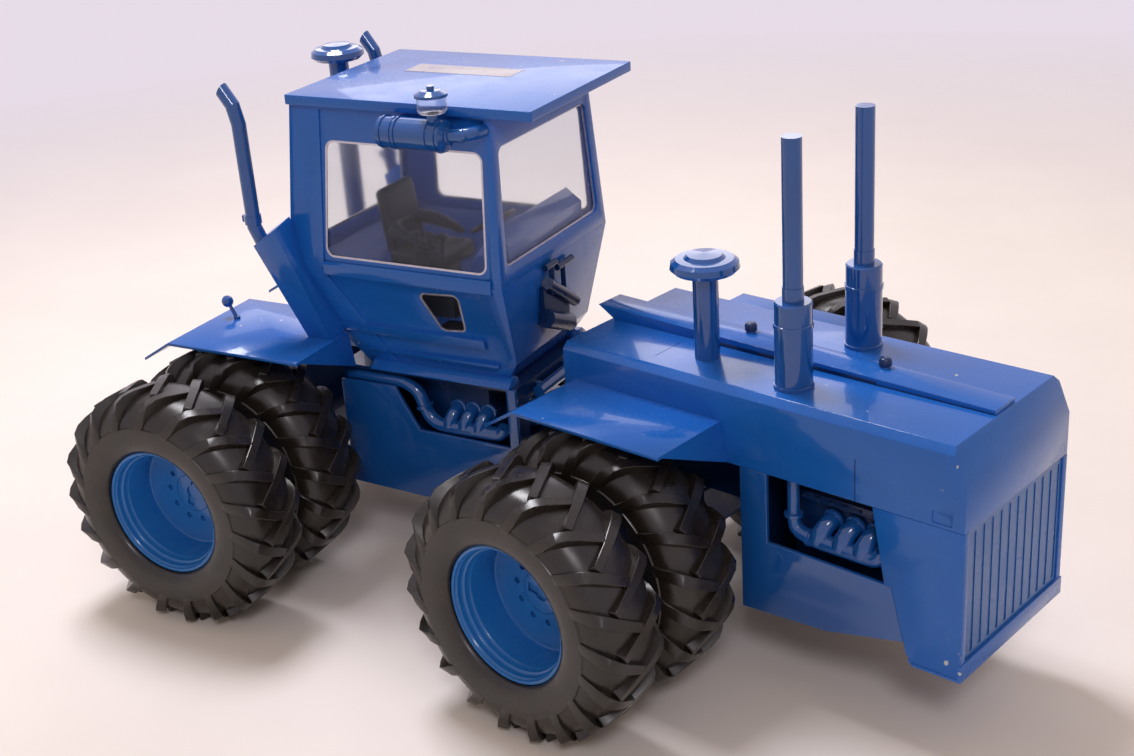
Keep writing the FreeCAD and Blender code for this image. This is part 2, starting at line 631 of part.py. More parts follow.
def rear_frame():
    """Floor, walls, deck and beam, with the two lugs that hold the pivot pin."""
    w = REAR_HALF_W - SHEET
    top = CAB_LOW_Z - 0.1
    low = FRAME_LOW_Z + 4.0
    floor = box(REAR_PLATE_X, REAR_FRONT_X - 1, -w, w, low, low + SHEET)
    bulkhead = box(REAR_PLATE_X, REAR_PLATE_X + SHEET, -w, w, low, top)
    beam = box(REAR_BACK_X, REAR_PLATE_X + 1, -16.0, 16.0, BEAM_Z, top)
    front_wall = box(REAR_FRONT_X - SHEET, REAR_FRONT_X, -w, w, low - 1.0, top)
    front_wall = front_wall.cut(box(-10, 20, -26, 26, LUG_LOW_Z[0] - 1.5, RAM_Z + 5.0))
    pieces = []
    for z0, z1 in (LUG_LOW_Z, LUG_TOP_Z):
        pieces.append(box(-14.0, REAR_FRONT_X - 1, -14.0, 14.0, z0, z1))
        pieces.append(Part.makeCylinder(10.0, z1 - z0, V(0, 0, z0), V(0, 0, 1)))
    pieces.append(box(-14.0, RAM_EYE_R + 0.8, -RAM_Y - 3.2, RAM_Y + 3.2, *LUG_TOP_Z))
    web = box(-16.0, -14.0, -w, w, low + 1.0, SILL_Z + 0.5)
    web = web.fuse(box(-16.0, -14.0, -23.0, 23.0, low + 1.0, LUG_TOP_Z[1] + 2.0))
    deck = box(REAR_PLATE_X + 1, REAR_FRONT_X - 1, -w, w, top - 1.9, top)
    saddle = box(REAR_AXLE_X - BELL - 1, REAR_AXLE_X + BELL + 1, -16.0, 16.0, BELL, BEAM_Z + 2.0)
    for y in (-RAM_Y, RAM_Y):
        pieces.append(Part.makeCylinder(RAM_ROD_R, RAM_Z + 2.6 - LUG_TOP_Z[0],
                                        V(0, y, LUG_TOP_Z[0]), V(0, 0, 1)))
    body = fuse_all([floor, bulkhead, beam, front_wall, web, deck, saddle] + pieces)
    bore = Part.makeCylinder(PIN_R + FIT_GAP, 40.0, V(0, 0, -7.0), V(0, 0, 1))
    return body.cut(bore)


def rear_fender():
    """Flat wing that fits round the cab's rear corner."""
    z = REAR_FENDER_Z
    x0, x1 = REAR_AXLE_X - 27.0, REAR_AXLE_X + 47.0
    corner = REAR_AXLE_X + 38.0
    outer = -BODY_HALF_W + 2.0 - FENDER_REACH
    inner = -cab_half(z) - 2.0
    behind = -17.0
    plate = prism_xy([(x0, outer), (x1, outer), (x1, inner), (corner, inner), (corner, behind),
                      (x0, behind)], z - FENDER_T, z)
    return fuse_all([plate, fender_tail(x0, z, outer, behind), fender_flap(x1, z, outer, inner)])


MARKER_X = REAR_AXLE_X - 15.5
MARKER_Y = -41.0


def marker():
    """Round lamp on a thin stalk, standing on the wing and turned in one piece."""
    foot = (MARKER_X, MARKER_Y, REAR_FENDER_Z)
    head = (MARKER_X - 4.5, MARKER_Y, REAR_FENDER_Z + 8.2)
    mid = math.hypot(4.5, 8.2)
    r, stalk = 2.9, 0.9
    profile = [(0, 0.7), (stalk, 0.7), (stalk, mid - 0.95 * r)]
    for deg in (-45, -15, 15, 45, 70):
        a = math.radians(deg)
        profile.append((r * math.cos(a), mid + r * math.sin(a)))
    profile.append((0, mid + r))
    lamp = along(foot, head, turned(profile, (0, 0, 0), (0, 0, 1)))
    pad = Part.makeCylinder(1.6, 1.2, V(*foot), V(0, 0, 1))
    return lamp.fuse(pad)


HOUSING_LOW = (CAB_BACK_X + 12.9, -CAB_HALF_W + 7.8, CAB_WAIST_Z - 41.4)
HOUSING_TOP = (CAB_BACK_X - 4.5, -CAB_HALF_W - 5.1, CAB_WAIST_Z + 16.8)


def exhaust_housing():
    """Flat box, wider at its top, that leans back and out along the cab's rear corner."""
    length = (V(*HOUSING_TOP) - V(*HOUSING_LOW)).Length
    side = [(-5.5, 0), (5.5, 0), (8.0, length + 2.5), (-8.0, length - 2.5)]
    body = along(HOUSING_LOW, HOUSING_TOP, prism_xz(side, -6.5, 6.5))
    below = box(CAB_BACK_X - 50, CAB_BACK_X + 40, -2 * CAB_HALF_W, 0, CAB_LOW_Z - 10,
                REAR_FENDER_Z + 0.05)
    return body.cut([below, cab_lower_solid(), cab_lower(), upper_solid(0)])


def tail_pipe():
    """Pipe on the housing, bent back near its end and cut off at a slant."""
    x, y, z = HOUSING_TOP
    x -= 9.0
    y -= 1.0
    top = ROOF_TOP_Z
    pipe = bent_pipe([(x + 5.0, y + 1.4, z - 10.2), (x + 0.6, y, z + 1.8), (x, y, top - 12.2),
                      (x - 2.0, y, top - 3.7), (x - 9.0, y, top + 5.8)], 3.3)
    clamp = rod((x + 0.4, y, z + 3.3), (x + 0.35, y, z + 7.3), 3.9)
    ear = box(x - 5.0, x, y - 1.0, y + 1.0, z + 3.8, z + 6.8)
    slash = prism_xz([(x - 16.5, top - 13.7), (x - 0.5, top + 13.5), (x - 20.5, top + 13.5),
                      (x - 20.5, top - 13.7)], y - 15.0, y + 15.0)
    return pipe.fuse([clamp, ear]).cut([exhaust_housing(), slash])


def rear_engine():
    return box(-56.0, -16.2, -25.5, 25.5, -3.0, CAB_LOW_Z - 3.0)


def rear_manifold():
    """Exhaust log in the opening, rising and running back over the side plate's edge."""
    y = -REAR_HALF_W + 5.0
    z = SILL_Z + 4.9
    log = bent_pipe([(REAR_PLATE_X + SHEET + 0.05, y, z + 19.8), (-56.4, y, z + 19.4),
                     (-49.6, y, z + 14.7), (-47.2, y, z + 7.8), (-42.8, y, z + 1.7),
                     (-36.6, y, z - 0.3), (-4.4, y, z)], 2.8)
    flange = rod((-47.8, y, z + 9.5), (-47.2, y, z + 7.8), 3.9)
    runners = []
    for x in (-34.5, -26.4, -18.3):
        runners.append(bent_pipe([(x, y + 0.2, z + 1.5), (x + 1.0, y + 2.0, z + 7.5),
                                  (x + 1.5, -24.5, z + 9.5)], 2.6))
    return log.fuse([flange] + runners).cut(rear_engine())


SEAT_X = CAB_BACK_X + 29.0


def seat():
    z = FLOOR_Z
    base = box(SEAT_X + 6.0, SEAT_X + 28.0, -10.0, 10.0, z, z + 14.0)
    cushion = rounded(box(SEAT_X, SEAT_X + 32.0, -15.0, 15.0, z + 14.0, z + 22.0), 3.0, V(0, 1, 0))
    back = prism_xz([(SEAT_X + 6.0, z + 20.0), (SEAT_X + 1.0, z + 56.0), (SEAT_X - 6.0, z + 55.0),
                     (SEAT_X - 1.0, z + 19.0)], -15.0, 15.0)
    return fuse_all([base, cushion, back])


def steering_wheel():
    """Six-sided rim section, hub, three spokes and the column."""
    centre = (CAB_FRONT_X - 32.1, 0.0, FLOOR_Z + 36.0)
    foot = (CAB_FRONT_X - 20.1, 0.0, FLOOR_Z + 4.0)
    section = [(11.1, 0), (10.6, 0.9), (9.4, 0.9), (8.9, 0), (9.4, -0.9), (10.6, -0.9)]
    wheel = turned(section, (0, 0, 0), (0, 0, 1)).fuse(turned(
        [(0, -1.2), (2.4, -1.2), (2.4, 1.2), (0, 1.2)], (0, 0, 0), (0, 0, 1)))
    for k in range(3):
        bar = box(1.0, 9.6, -0.9, 0.9, -0.6, 0.6)
        bar.rotate(V(0, 0, 0), V(0, 0, 1), 120 * k + 90)
        wheel = wheel.fuse(bar)
    tilt = FreeCAD.Rotation(V(0, 0, 1), V(-0.5, 0, 1.0))
    wheel.Placement = FreeCAD.Placement(V(*centre), tilt)
    return wheel.fuse(rod(foot, centre, 2.0)).cut(console())


def console():
    """Sloping dash under the windscreen, across the cab."""
    z = FLOOR_Z
    x = CAB_FRONT_X
    return prism_xz([(x - 26.1, z), (x - 6.1, z), (x - 4.3, z + 38.0), (x - 12.1, z + 44.0),
                     (x - 24.1, z + 28.0)], -CAB_HALF_W + 14.9, CAB_HALF_W - 14.9)


def levers():
    """Three levers with knobs on a stand beside the seat."""
    x = CAB_FRONT_X - 64.1
    stand = box(x, x + 28.0, -32.0, -22.0, FLOOR_Z, FLOOR_Z + 14.0)
    knob = turned([(0, 0), (0.9, 0), (0.9, 21.0), (2.0, 22.6), (2.0, 24.2), (0, 25.4)], (0, 0, 0),
                  (0, 0, 1))
    sticks = []
    for k in range(3):
        foot = (x + 6.0 + 7.0 * k, -27.0, FLOOR_Z + 13.0)
        sticks.append(along(foot, (foot[0] + 2.0, foot[1], foot[2] + 24.0), knob))
    return stand.fuse(sticks)


AIR_X = CAB_FRONT_X - 49.8
AIR_Y = -CAB_HALF_W - 3.4
AIR_Z = ROOF_TOP_Z - 10.9
BOWL_X = AIR_X + 25.8


def air_cleaner():
    """Round canister along the roof's edge, with an elbow into the cab and a neck on top."""
    can = turned([(0, 0), (6.7, 0), (6.7, 6.0), (7.1, 6.2), (7.1, 7.4), (6.7, 7.6), (6.7, 31.0),
                  (3.0, 32.5), (0, 32.5)], (AIR_X, AIR_Y, AIR_Z), (1, 0, 0))
    elbow = bent_pipe([(AIR_X + 31.5, AIR_Y, AIR_Z), (AIR_X + 40.0, AIR_Y, AIR_Z + 1.0),
                       (AIR_X + 43.7, AIR_Y + 9.5, AIR_Z + 1.0)], 2.6)
    neck = Part.makeCylinder(2.6, 4.0, V(BOWL_X, AIR_Y, AIR_Z + 5.6), V(0, 0, 1))
    return can.fuse([elbow, neck]).cut(upper_solid(0))


def bowl():
    return turned([(0, 0), (5.4, 0), (6.2, 1.2), (6.2, 6.8), (0, 6.8)],
                  (BOWL_X, AIR_Y, AIR_Z + 9.6), (0, 0, 1))


def bowl_lid():
    return turned([(0, 0), (7.0, 0), (7.0, 1.2), (4.0, 2.6), (1.6, 2.8), (1.6, 4.4), (0, 4.4)],
                  (BOWL_X, AIR_Y, AIR_Z + 16.4), (0, 0, 1))


def valve_unit():
    """Hydraulic valve and filter group with two handles, on the cab's front panel."""
    x = CAB_FRONT_X + 1.9
    z = FLOOR_Z
    block = prism_yz([(-15.5, z + 13.0), (-11.0, z + 13.0), (7.0, z), (7.0, z - 9.0),
                      (-15.5, z - 5.0)], x - 6.0, x - 1.0)
    barrel = rod((x, -13.2, z + 14.5), (x, 10.7, z - 2.0), 2.8)
    drum = rod((x - 1.0, -14.6, z - 1.8), (x - 1.0, 5.0, z - 10.7), 4.3)
    parts = [block, barrel, drum]
    for y, z0, z1, y0, y1 in ((-8.7, 8.0, 22.0, -14.5, -4.8), (1.5, 3.0, 18.8, -3.9, 10.2)):
        parts.append(rod((x, y, z + z0), (x, y, z + z1), 1.2))
        parts.append(rod((x, y0, z + z1), (x, y1, z + z1), 1.5))
    return fuse_all(parts).cut([cab_lower_solid(), upper_solid(0)])


def cross_ram():
    """Cylinder lying across the front of the rear half, in two straps."""
    x = REAR_FRONT_X + 3.4
    z = CAB_LOW_Z - 6.0
    body = rod((x, -22.0, z), (x, 14.0, z), 2.9)
    stub = rod((x, 13.0, z), (x, 24.0, z), 1.3)
    straps = [box(REAR_FRONT_X, x, y, y + 2.4, z - 2.6, z + 2.6) for y in (-18.0, 8.0)]
    return body.fuse([stub] + straps)


def drawbar():
    bar = box(REAR_BACK_X - 26.0, REAR_BACK_X + 10.0, -5.0, 5.0, -15.0, -12.0)
    hanger = box(REAR_BACK_X - 4.0, REAR_BACK_X - 0.05, -8.0, 8.0, -13.0, CAB_LOW_Z - 1.0)
    return fuse_all([bar, hanger]).cut(Part.makeCylinder(HITCH_R, 10.0, V(HITCH_X, 0, -17.0),
                                                         V(0, 0, 1)))


# ---------------------------------------------------------------- steering rams
def to_front(x, y, swing):
    """Where a point of the straight rear half stands once it is swung by so many degrees."""
    a = math.radians(swing)
    return (-PIVOT_BACK + x * math.cos(a) - y * math.sin(a), x * math.sin(a) + y * math.cos(a))


def ram_length(swing):
    bx, by = to_front(0, RAM_Y, swing)
    return math.hypot(RAM_TIP_X - bx, RAM_TIP_Y - by)


def ram(side):
    """Barrel and rod of one steering ram, already in their parked place."""
    bx, by = to_front(0, side * RAM_Y, STEER_DEG)
    tip_y = side * RAM_TIP_Y
    length = math.hypot(RAM_TIP_X - bx, tip_y - by)
    shortest = min(ram_length(-STEER_MAX), ram_length(STEER_MAX))
    barrel_end = shortest - RAM_EYE_R - 1.2
    stem_len = shortest - 4.4
    up = V(0, 0, 1)
    eye = Part.makeCylinder(RAM_EYE_R, 4.4, V(0, 0, -2.2), up)
    tube = rod((1.8, 0, 0), (barrel_end, 0, 0), RAM_R)
    pin_hole = Part.makeCylinder(RAM_ROD_R + FIT_GAP, 8.0, V(0, 0, -4.0), up)
    bore = rod((2.9, 0, 0), (barrel_end + 1, 0, 0), RAM_ROD_R + FIT_GAP)
    barrel = eye.fuse(tube).cut([pin_hole, bore])
    stem = rod((length - stem_len, 0, 0), (length - 1.5, 0, 0), RAM_ROD_R)
    tip = Part.makeCylinder(RAM_EYE_R - 0.1, 3.0, V(length, 0, -1.5), up)
    stud = Part.makeCylinder(1.1, 4.6, V(length, 0, -2.0), up)
    stem = stem.fuse([tip, stud])
    heading = math.degrees(math.atan2(tip_y - by, RAM_TIP_X - bx))
    for piece in (barrel, stem):
        piece.rotate(V(0, 0, 0), V(0, 0, 1), heading)
        piece.translate(V(bx, by, RAM_Z))
    return barrel, stem


def build_rear():
    rear("rear_frame", rear_frame())
    rear("rear_side_plates", both_sides(rear_side_plate()))
    rear("rear_axle", axle(REAR_AXLE_X))
    rear("rear_engine", rear_engine())
    rear("rear_manifolds", both_sides(rear_manifold()))
    rear("rear_fenders", both_sides(rear_fender()))
    rear("marker_lamps", both_sides(marker()))
    rear("cab_lower", cab_lower())
    rear("cab_frame", cab_frame())
    rear("roof", roof())
    glass = panes()
    rear("side_glass", Part.makeCompound(glass[:2]))
    rear("windscreen", glass[2])
    rear("rear_glass", glass[3])
    rear("lower_glass", both_sides(small_pane()))
    rear("seat", seat())
    rear("steering_wheel", steering_wheel())
    rear("console", console())
    rear("levers", levers())
    rear("air_cleaner", air_cleaner())
    rear("precleaner_bowl", bowl())
    rear("precleaner_lid", bowl_lid())
    rear("valve_unit", valve_unit())
    rear("exhaust_housings", both_sides(exhaust_housing()))
    rear("tail_pipes", both_sides(tail_pipe()))
    rear("rear_intake", mushroom(REAR_AXLE_X + 9.0, 30.0, REAR_FENDER_Z, ROOF_TOP_Z - 3.2, 4.8, 12.8))
    rear("cross_ram", cross_ram())
    rear("drawbar", drawbar())
    wheel_set(rear, "rear", REAR_AXLE_X)
    for side, name in ((-1, "right"), (1, "left")):
        barrel, stem = ram(side)
        front("ram_barrel_" + name, barrel)
        front("ram_rod_" + name, stem)


def shift_to_origin():
    """Centre the model on the origin and stand it on the floor."""
    whole = Part.makeCompound(list(shapes.values())).optimalBoundingBox(False)
    return V(-(whole.XMin + whole.XMax) / 2, -(whole.YMin + whole.YMax) / 2, -whole.ZMin)


def main():
    build_front()
    build_rear()
    shift = shift_to_origin()
    os.makedirs("parts", exist_ok=True)
    for name, shape in shapes.items():
        shape.translate(shift)
        shape.exportStep("parts/" + name + ".step")
    return shift


SHIFT = main()
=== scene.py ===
import bpy
import bmesh
import json
import math
from mathutils import Matrix, Vector


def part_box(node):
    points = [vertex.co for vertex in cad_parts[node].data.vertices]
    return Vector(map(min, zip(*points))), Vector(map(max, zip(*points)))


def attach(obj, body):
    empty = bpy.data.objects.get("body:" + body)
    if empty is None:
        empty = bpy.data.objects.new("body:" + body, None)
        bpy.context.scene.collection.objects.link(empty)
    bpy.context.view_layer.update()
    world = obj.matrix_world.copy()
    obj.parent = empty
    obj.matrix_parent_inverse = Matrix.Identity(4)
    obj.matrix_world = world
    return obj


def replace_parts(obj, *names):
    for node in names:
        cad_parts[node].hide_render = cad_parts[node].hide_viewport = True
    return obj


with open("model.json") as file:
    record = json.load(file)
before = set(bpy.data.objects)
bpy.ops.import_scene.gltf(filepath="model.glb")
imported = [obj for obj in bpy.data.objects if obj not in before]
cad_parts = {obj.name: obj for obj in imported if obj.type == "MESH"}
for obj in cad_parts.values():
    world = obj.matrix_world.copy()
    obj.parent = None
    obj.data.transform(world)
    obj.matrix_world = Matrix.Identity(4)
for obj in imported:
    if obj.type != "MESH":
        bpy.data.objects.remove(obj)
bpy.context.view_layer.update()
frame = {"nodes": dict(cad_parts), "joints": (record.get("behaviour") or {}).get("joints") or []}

MM = 0.001
JOINTS = {joint["name"]: joint for joint in frame["joints"]}

# ---------------------------------------------------------------- places taken from the frame
FRONT_AXLE = Vector(JOINTS["wheel_front_right_spin"]["pos_m"])
PIVOT = Vector(JOINTS["articulation"]["pos_m"])
REAR_AXIS = Vector(JOINTS["wheel_rear_right_spin"]["axis"])
REAR_AXLE = Vector(JOINTS["wheel_rear_right_spin"]["pos_m"])
STEER = math.atan2(-REAR_AXIS.x, REAR_AXIS.y)
AXLE_Z = FRONT_AXLE.z

# Each half is drawn in millimetres with z = 0 on the axles' line, +X forward and +Y left: the
# front half from its axle, the rear half from the frame pivot.
FRONT = Matrix.Translation(FRONT_AXLE) @ Matrix.Scale(MM, 4)
REAR = (Matrix.Translation(Vector((PIVOT.x, PIVOT.y, AXLE_Z))) @ Matrix.Rotation(STEER, 4, "Z")
        @ Matrix.Scale(MM, 4))
REAR_AXLE_X = -(REAR_AXLE - PIVOT).xy.length / MM


def front_box(node):
    """The box of a front-half node in that half's millimetres."""
    back = FRONT.inverted()
    return tuple(back @ Vector(corner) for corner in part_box(node))


OUTER_BOX = front_box("tyre_outer_front_right")
INNER_BOX = front_box("tyre_inner_front_right")
FLOOR_GAP = 0.05                 # the visible lugs stay just clear of the floor
TYRE_R = AXLE_Z / MM - FLOOR_GAP
TYRE_HALF_W = (OUTER_BOX[1].y - OUTER_BOX[0].y) / 2
OUTER_Y = -(OUTER_BOX[0].y + OUTER_BOX[1].y) / 2
INNER_Y = -(INNER_BOX[0].y + INNER_BOX[1].y) / 2
LIP_R = front_box("rims_front_right")[1].z
LIP_Y = front_box("rims_front_right")[0].y + OUTER_Y      # lip plane, from the tyre's middle
LUGS = 19                        # on each side of the tread
ROUND_STEPS = 120                # round a tyre or a rim
WELD = 2e-6                      # metres within which a CAD copy's corners are one
PANES = ("side_glass", "windscreen", "rear_glass", "lower_glass")


# ---------------------------------------------------------------- shader groups
def new_group(name, inputs, outputs):
    """A node group with named float inputs [(name, default)] and outputs [(name, type)]."""
    group = bpy.data.node_groups.new(name, "ShaderNodeTree")
    for label, value in inputs:
        socket = group.interface.new_socket(label, in_out="INPUT", socket_type="NodeSocketFloat")
        socket.default_value = value
    for label, kind in outputs:
        group.interface.new_socket(label, in_out="OUTPUT", socket_type=kind)
    return group, group.nodes.new("NodeGroupInput"), group.nodes.new("NodeGroupOutput")


def noise(nodes, links, coords, scale, detail, roughness=0.55):
    """Noise in 0..1, with a scale that is a number or another node's output."""
    texture = nodes.new("ShaderNodeTexNoise")
    texture.inputs["Detail"].default_value = detail
    texture.inputs["Roughness"].default_value = roughness
    links.new(coords, texture.inputs["Vector"])
    if isinstance(scale, float):
        texture.inputs["Scale"].default_value = scale
    else:
        links.new(scale, texture.inputs["Scale"])
    return texture.outputs["Fac"]


def ramp(nodes, links, value, low, high, out_low=0.0, out_high=1.0):
    """Map a value from low..high to out_low..out_high, held at both ends."""
    node = nodes.new("ShaderNodeMapRange")
    node.inputs["From Min"].default_value = low
    node.inputs["From Max"].default_value = high
    node.inputs["To Min"].default_value = out_low
    node.inputs["To Max"].default_value = out_high
    links.new(value, node.inputs["Value"])
    return node.outputs["Result"]


def maths(nodes, links, operation, a, b):
    """One sum on two values, each a number or another node's output."""
    node = nodes.new("ShaderNodeMath")
    node.operation = operation
    for slot, value in ((0, a), (1, b)):
        if isinstance(value, float):
            node.inputs[slot].default_value = value
        else:
            links.new(value, node.inputs[slot])
    return node.outputs[0]


def handling_group():
    """Smudges, dust on what faces up, and small paint chips."""
    group, entry, leave = new_group(
        "Handling wear", [("Smudge scale", 45.0), ("Chip scale", 260.0), ("Chip amount", 0.5)],
        [("Smudge", "NodeSocketFloat"), ("Dust", "NodeSocketFloat"), ("Chip", "NodeSocketFloat")])
    nodes, links = group.nodes, group.links
    coords = nodes.new("ShaderNodeTexCoord").outputs["Object"]
    smudge = noise(nodes, links, coords, entry.outputs["Smudge scale"], 5.0, 0.6)
    links.new(ramp(nodes, links, smudge, 0.35, 0.68), leave.inputs["Smudge"])
    facing = nodes.new("ShaderNodeSeparateXYZ")
    links.new(nodes.new("ShaderNodeNewGeometry").outputs["Normal"], facing.inputs[0])
    up = ramp(nodes, links, facing.outputs["Z"], 0.4, 1.0)
    specks = ramp(nodes, links, noise(nodes, links, coords, 900.0, 3.0, 0.7), 0.5, 0.78)
    links.new(maths(nodes, links, "MULTIPLY", up, specks), leave.inputs["Dust"])
    patches = ramp(nodes, links, noise(nodes, links, coords, 38.0, 2.0), 0.57, 0.64)
    spots = noise(nodes, links, coords, entry.outputs["Chip scale"], 2.0, 0.5)
    limit = maths(nodes, links, "SUBTRACT", 0.83, maths(
        nodes, links, "MULTIPLY", entry.outputs["Chip amount"], 0.12))
    over = maths(nodes, links, "GREATER_THAN", spots, limit)
    links.new(maths(nodes, links, "MULTIPLY", over, patches), leave.inputs["Chip"])
    return group


HANDLING = handling_group()


def material(name, rough, metallic=0.0, coat=0.0):
    """A new material with its nodes, links and Principled shader."""
    made = bpy.data.materials.new(name)
    made.use_nodes = True
    shader = made.node_tree.nodes["Principled BSDF"]
    shader.inputs["Roughness"].default_value = rough
    shader.inputs["Metallic"].default_value = metallic
    shader.inputs["Coat Weight"].default_value = coat
    return made, made.node_tree.nodes, made.node_tree.links, shader


def mix(nodes, links, factor, a, b):
    """A blend from colour a to colour b."""
    node = nodes.new("ShaderNodeMix")
    node.data_type = "RGBA"
    links.new(factor, node.inputs["Factor"])
    for slot, value in ((6, a), (7, b)):         # the colour sockets; their result is output 2
        if isinstance(value, tuple):
            node.inputs[slot].default_value = (*value, 1.0)
        else:
            links.new(value, node.inputs[slot])
    return node.outputs[2]


def bump(nodes, links, shader, height, strength):
    """Fine relief, up to a fifth of a millimetre deep."""
    node = nodes.new("ShaderNodeBump")
    node.inputs["Strength"].default_value = strength
    node.inputs["Distance"].default_value = 0.2 * MM
    links.new(height, node.inputs["Height"])
    links.new(node.outputs["Normal"], shader.inputs["Normal"])


CHIP = (0.5, 0.52, 0.55)
PAINT_DUST = (0.42, 0.45, 0.5)
RUBBER_DUST = (0.3, 0.26, 0.22)


def painted(name, deep, light, chip, chips, rough=0.2, coat=0.45, ribs=0.0):
    """Sprayed enamel: cloudy colour, faint orange peel, smudges, dust, chips and any fine ribs."""
    made, nodes, links, shader = material(name, rough, coat=coat)
    shader.inputs["Coat Roughness"].default_value = 0.05
    shader.inputs["Specular IOR Level"].default_value = 0.22
    wear = nodes.new("ShaderNodeGroup")
    wear.node_tree = HANDLING
    wear.inputs["Chip amount"].default_value = chips
    coords = nodes.new("ShaderNodeTexCoord").outputs["Object"]
    cloud = ramp(nodes, links, noise(nodes, links, coords, 22.0, 4.0), 0.3, 0.7)
    colour = mix(nodes, links, cloud, deep, light)
    dust = ramp(nodes, links, wear.outputs["Dust"], 0.0, 1.0, 0.0, 0.1)
    colour = mix(nodes, links, dust, colour, PAINT_DUST)
    colour = mix(nodes, links, wear.outputs["Chip"], colour, chip)
    links.new(colour, shader.inputs["Base Color"])
    links.new(ramp(nodes, links, wear.outputs["Smudge"], 0.0, 1.0, rough - 0.04, rough + 0.14),
              shader.inputs["Roughness"])
    height = noise(nodes, links, coords, 240.0, 2.0)
    if ribs:
        wave = nodes.new("ShaderNodeTexWave")
        wave.bands_direction = "Z"
        wave.inputs["Scale"].default_value = ribs
        links.new(coords, wave.inputs["Vector"])
        height = maths(nodes, links, "ADD", height, wave.outputs["Fac"])
    bump(nodes, links, shader, height, 0.5 if ribs else 0.06)
    return made


def rubber():
    """Moulded tyre rubber: near black, soft sheen, dull rubbed patches and dust in the hollows."""
    made, nodes, links, shader = material("Tyre rubber", 0.5)
    coords = nodes.new("ShaderNodeTexCoord").outputs["Object"]
    wear = nodes.new("ShaderNodeGroup")
    wear.node_tree = HANDLING
    wear.inputs["Smudge scale"].default_value = 70.0
    grime = ramp(nodes, links, noise(nodes, links, coords, 60.0, 6.0, 0.65), 0.35, 0.75)
    colour = mix(nodes, links, grime, (0.0095, 0.0075, 0.0062), (0.025, 0.0185, 0.014))
    dust = ramp(nodes, links, wear.outputs["Dust"], 0.0, 1.0, 0.0, 0.12)
    colour = mix(nodes, links, dust, colour, RUBBER_DUST)
    links.new(colour, shader.inputs["Base Color"])
    links.new(ramp(nodes, links, wear.outputs["Smudge"], 0.0, 1.0, 0.22, 0.42),
              shader.inputs["Roughness"])
    bump(nodes, links, shader, noise(nodes, links, coords, 1400.0, 3.0), 0.08)
    return made


def clear(name, tint, rough):
    """Clear sheet with faint smears in its gloss and a slightly uneven tint."""
    made, nodes, links, shader = material(name, rough)
    coords = nodes.new("ShaderNodeTexCoord").outputs["Object"]
    smears = noise(nodes, links, coords, 60.0, 5.0)
    links.new(ramp(nodes, links, smears, 0.35, 0.7, rough, rough + 0.07),
              shader.inputs["Roughness"])
    cloud = ramp(nodes, links, noise(nodes, links, coords, 15.0, 2.0), 0.3, 0.7)
    colour = mix(nodes, links, cloud, tint, tuple(0.96 * part for part in tint))
    links.new(colour, shader.inputs["Base Color"])
    shader.inputs["Transmission Weight"].default_value = 1.0
    shader.inputs["Coat Weight"].default_value = 0.5
    shader.inputs["Coat Roughness"].default_value = 0.3
    shader.inputs["IOR"].default_value = 1.15
    return made


def steel(name, dark, light, rough):
    """Bare metal with fine streaks."""
    made, nodes, links, shader = material(name, rough, metallic=1.0)
    coords = nodes.new("ShaderNodeTexCoord").outputs["Object"]
    streak = ramp(nodes, links, noise(nodes, links, coords, 400.0, 3.0), 0.3, 0.7)
    links.new(mix(nodes, links, streak, dark, light), shader.inputs["Base Color"])
    links.new(ramp(nodes, links, streak, 0.0, 1.0, rough, rough + 0.18),
              shader.inputs["Roughness"])
    return made


BLUE = painted("Blue enamel", (0.007, 0.108, 0.47), (0.010, 0.123, 0.52), CHIP,
               chips=0.8)
# darker casting enamel, also laid as painted shade on parts that sit in shadow
BLUE_CAST_AND_SHADE = painted("Blue enamel on castings and painted shade", (0.006, 0.073, 0.31), (0.008, 0.088, 0.36), CHIP,
                    chips=0.2, rough=0.12, coat=1.0)
BLUE_RIM = painted("Blue enamel on rims", (0.012, 0.128, 0.42), (0.016, 0.147, 0.47), CHIP,
                   chips=0.2)
BLUE_RIBBED = painted("Blue enamel on fine ribs", (0.009, 0.100, 0.37), (0.012, 0.114, 0.42), CHIP,
                      chips=0.2, rough=0.25, ribs=285.0)
# dark enamel for dark joints and knobs, also laid as painted shade on parts deep in the body
BLUE_DARK_AND_SHADE = painted("Dark blue enamel and painted shade", (0.002, 0.018, 0.080), (0.003, 0.024, 0.11), CHIP,
                    chips=0.1, rough=0.25, coat=0.3)
VINYL = painted("Dark seat vinyl", (0.005, 0.009, 0.022), (0.010, 0.017, 0.036), (0.05, 0.05, 0.06),
                chips=0.1, rough=0.4, coat=0.1)
BARE_PATCH = painted("Pale bare patch", (0.36, 0.33, 0.38), (0.60, 0.55, 0.60),
                     (0.05, 0.12, 0.35), chips=1.0, rough=0.4, coat=0.1)
RUBBER = rubber()
GLASS = clear("Clear window sheet", (0.90, 0.92, 0.95), 0.09)
BOWL = clear("Clear bowl plastic", (0.96, 0.97, 0.98), 0.3)
STEEL = steel("Turned steel", (0.42, 0.42, 0.43), (0.6, 0.6, 0.6), 0.24)
TRIM = steel("Bright window trim", (0.50, 0.47, 0.50), (0.66, 0.63, 0.66), 0.38)


# ---------------------------------------------------------------- mesh helpers
def shade(mesh, sharp_deg):
    """Shade a mesh smooth, apart from edges that turn more than an angle."""
    for face in mesh.polygons:
        face.use_smooth = True
    mesh.set_sharp_from_angle(angle=math.radians(sharp_deg))


def finish_mesh(name, bm, body, finish, sharp_deg=40.0):
    """Turn a bmesh drawn in metres in the row frame into a piece that rides on a body."""
    mesh = bpy.data.meshes.new(name)
    bm.to_mesh(mesh)
    bm.free()
    shade(mesh, sharp_deg)
    piece = bpy.data.objects.new(name, mesh)
    bpy.context.scene.collection.objects.link(piece)
    mesh.materials.append(finish)
    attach(piece, body)
    return piece


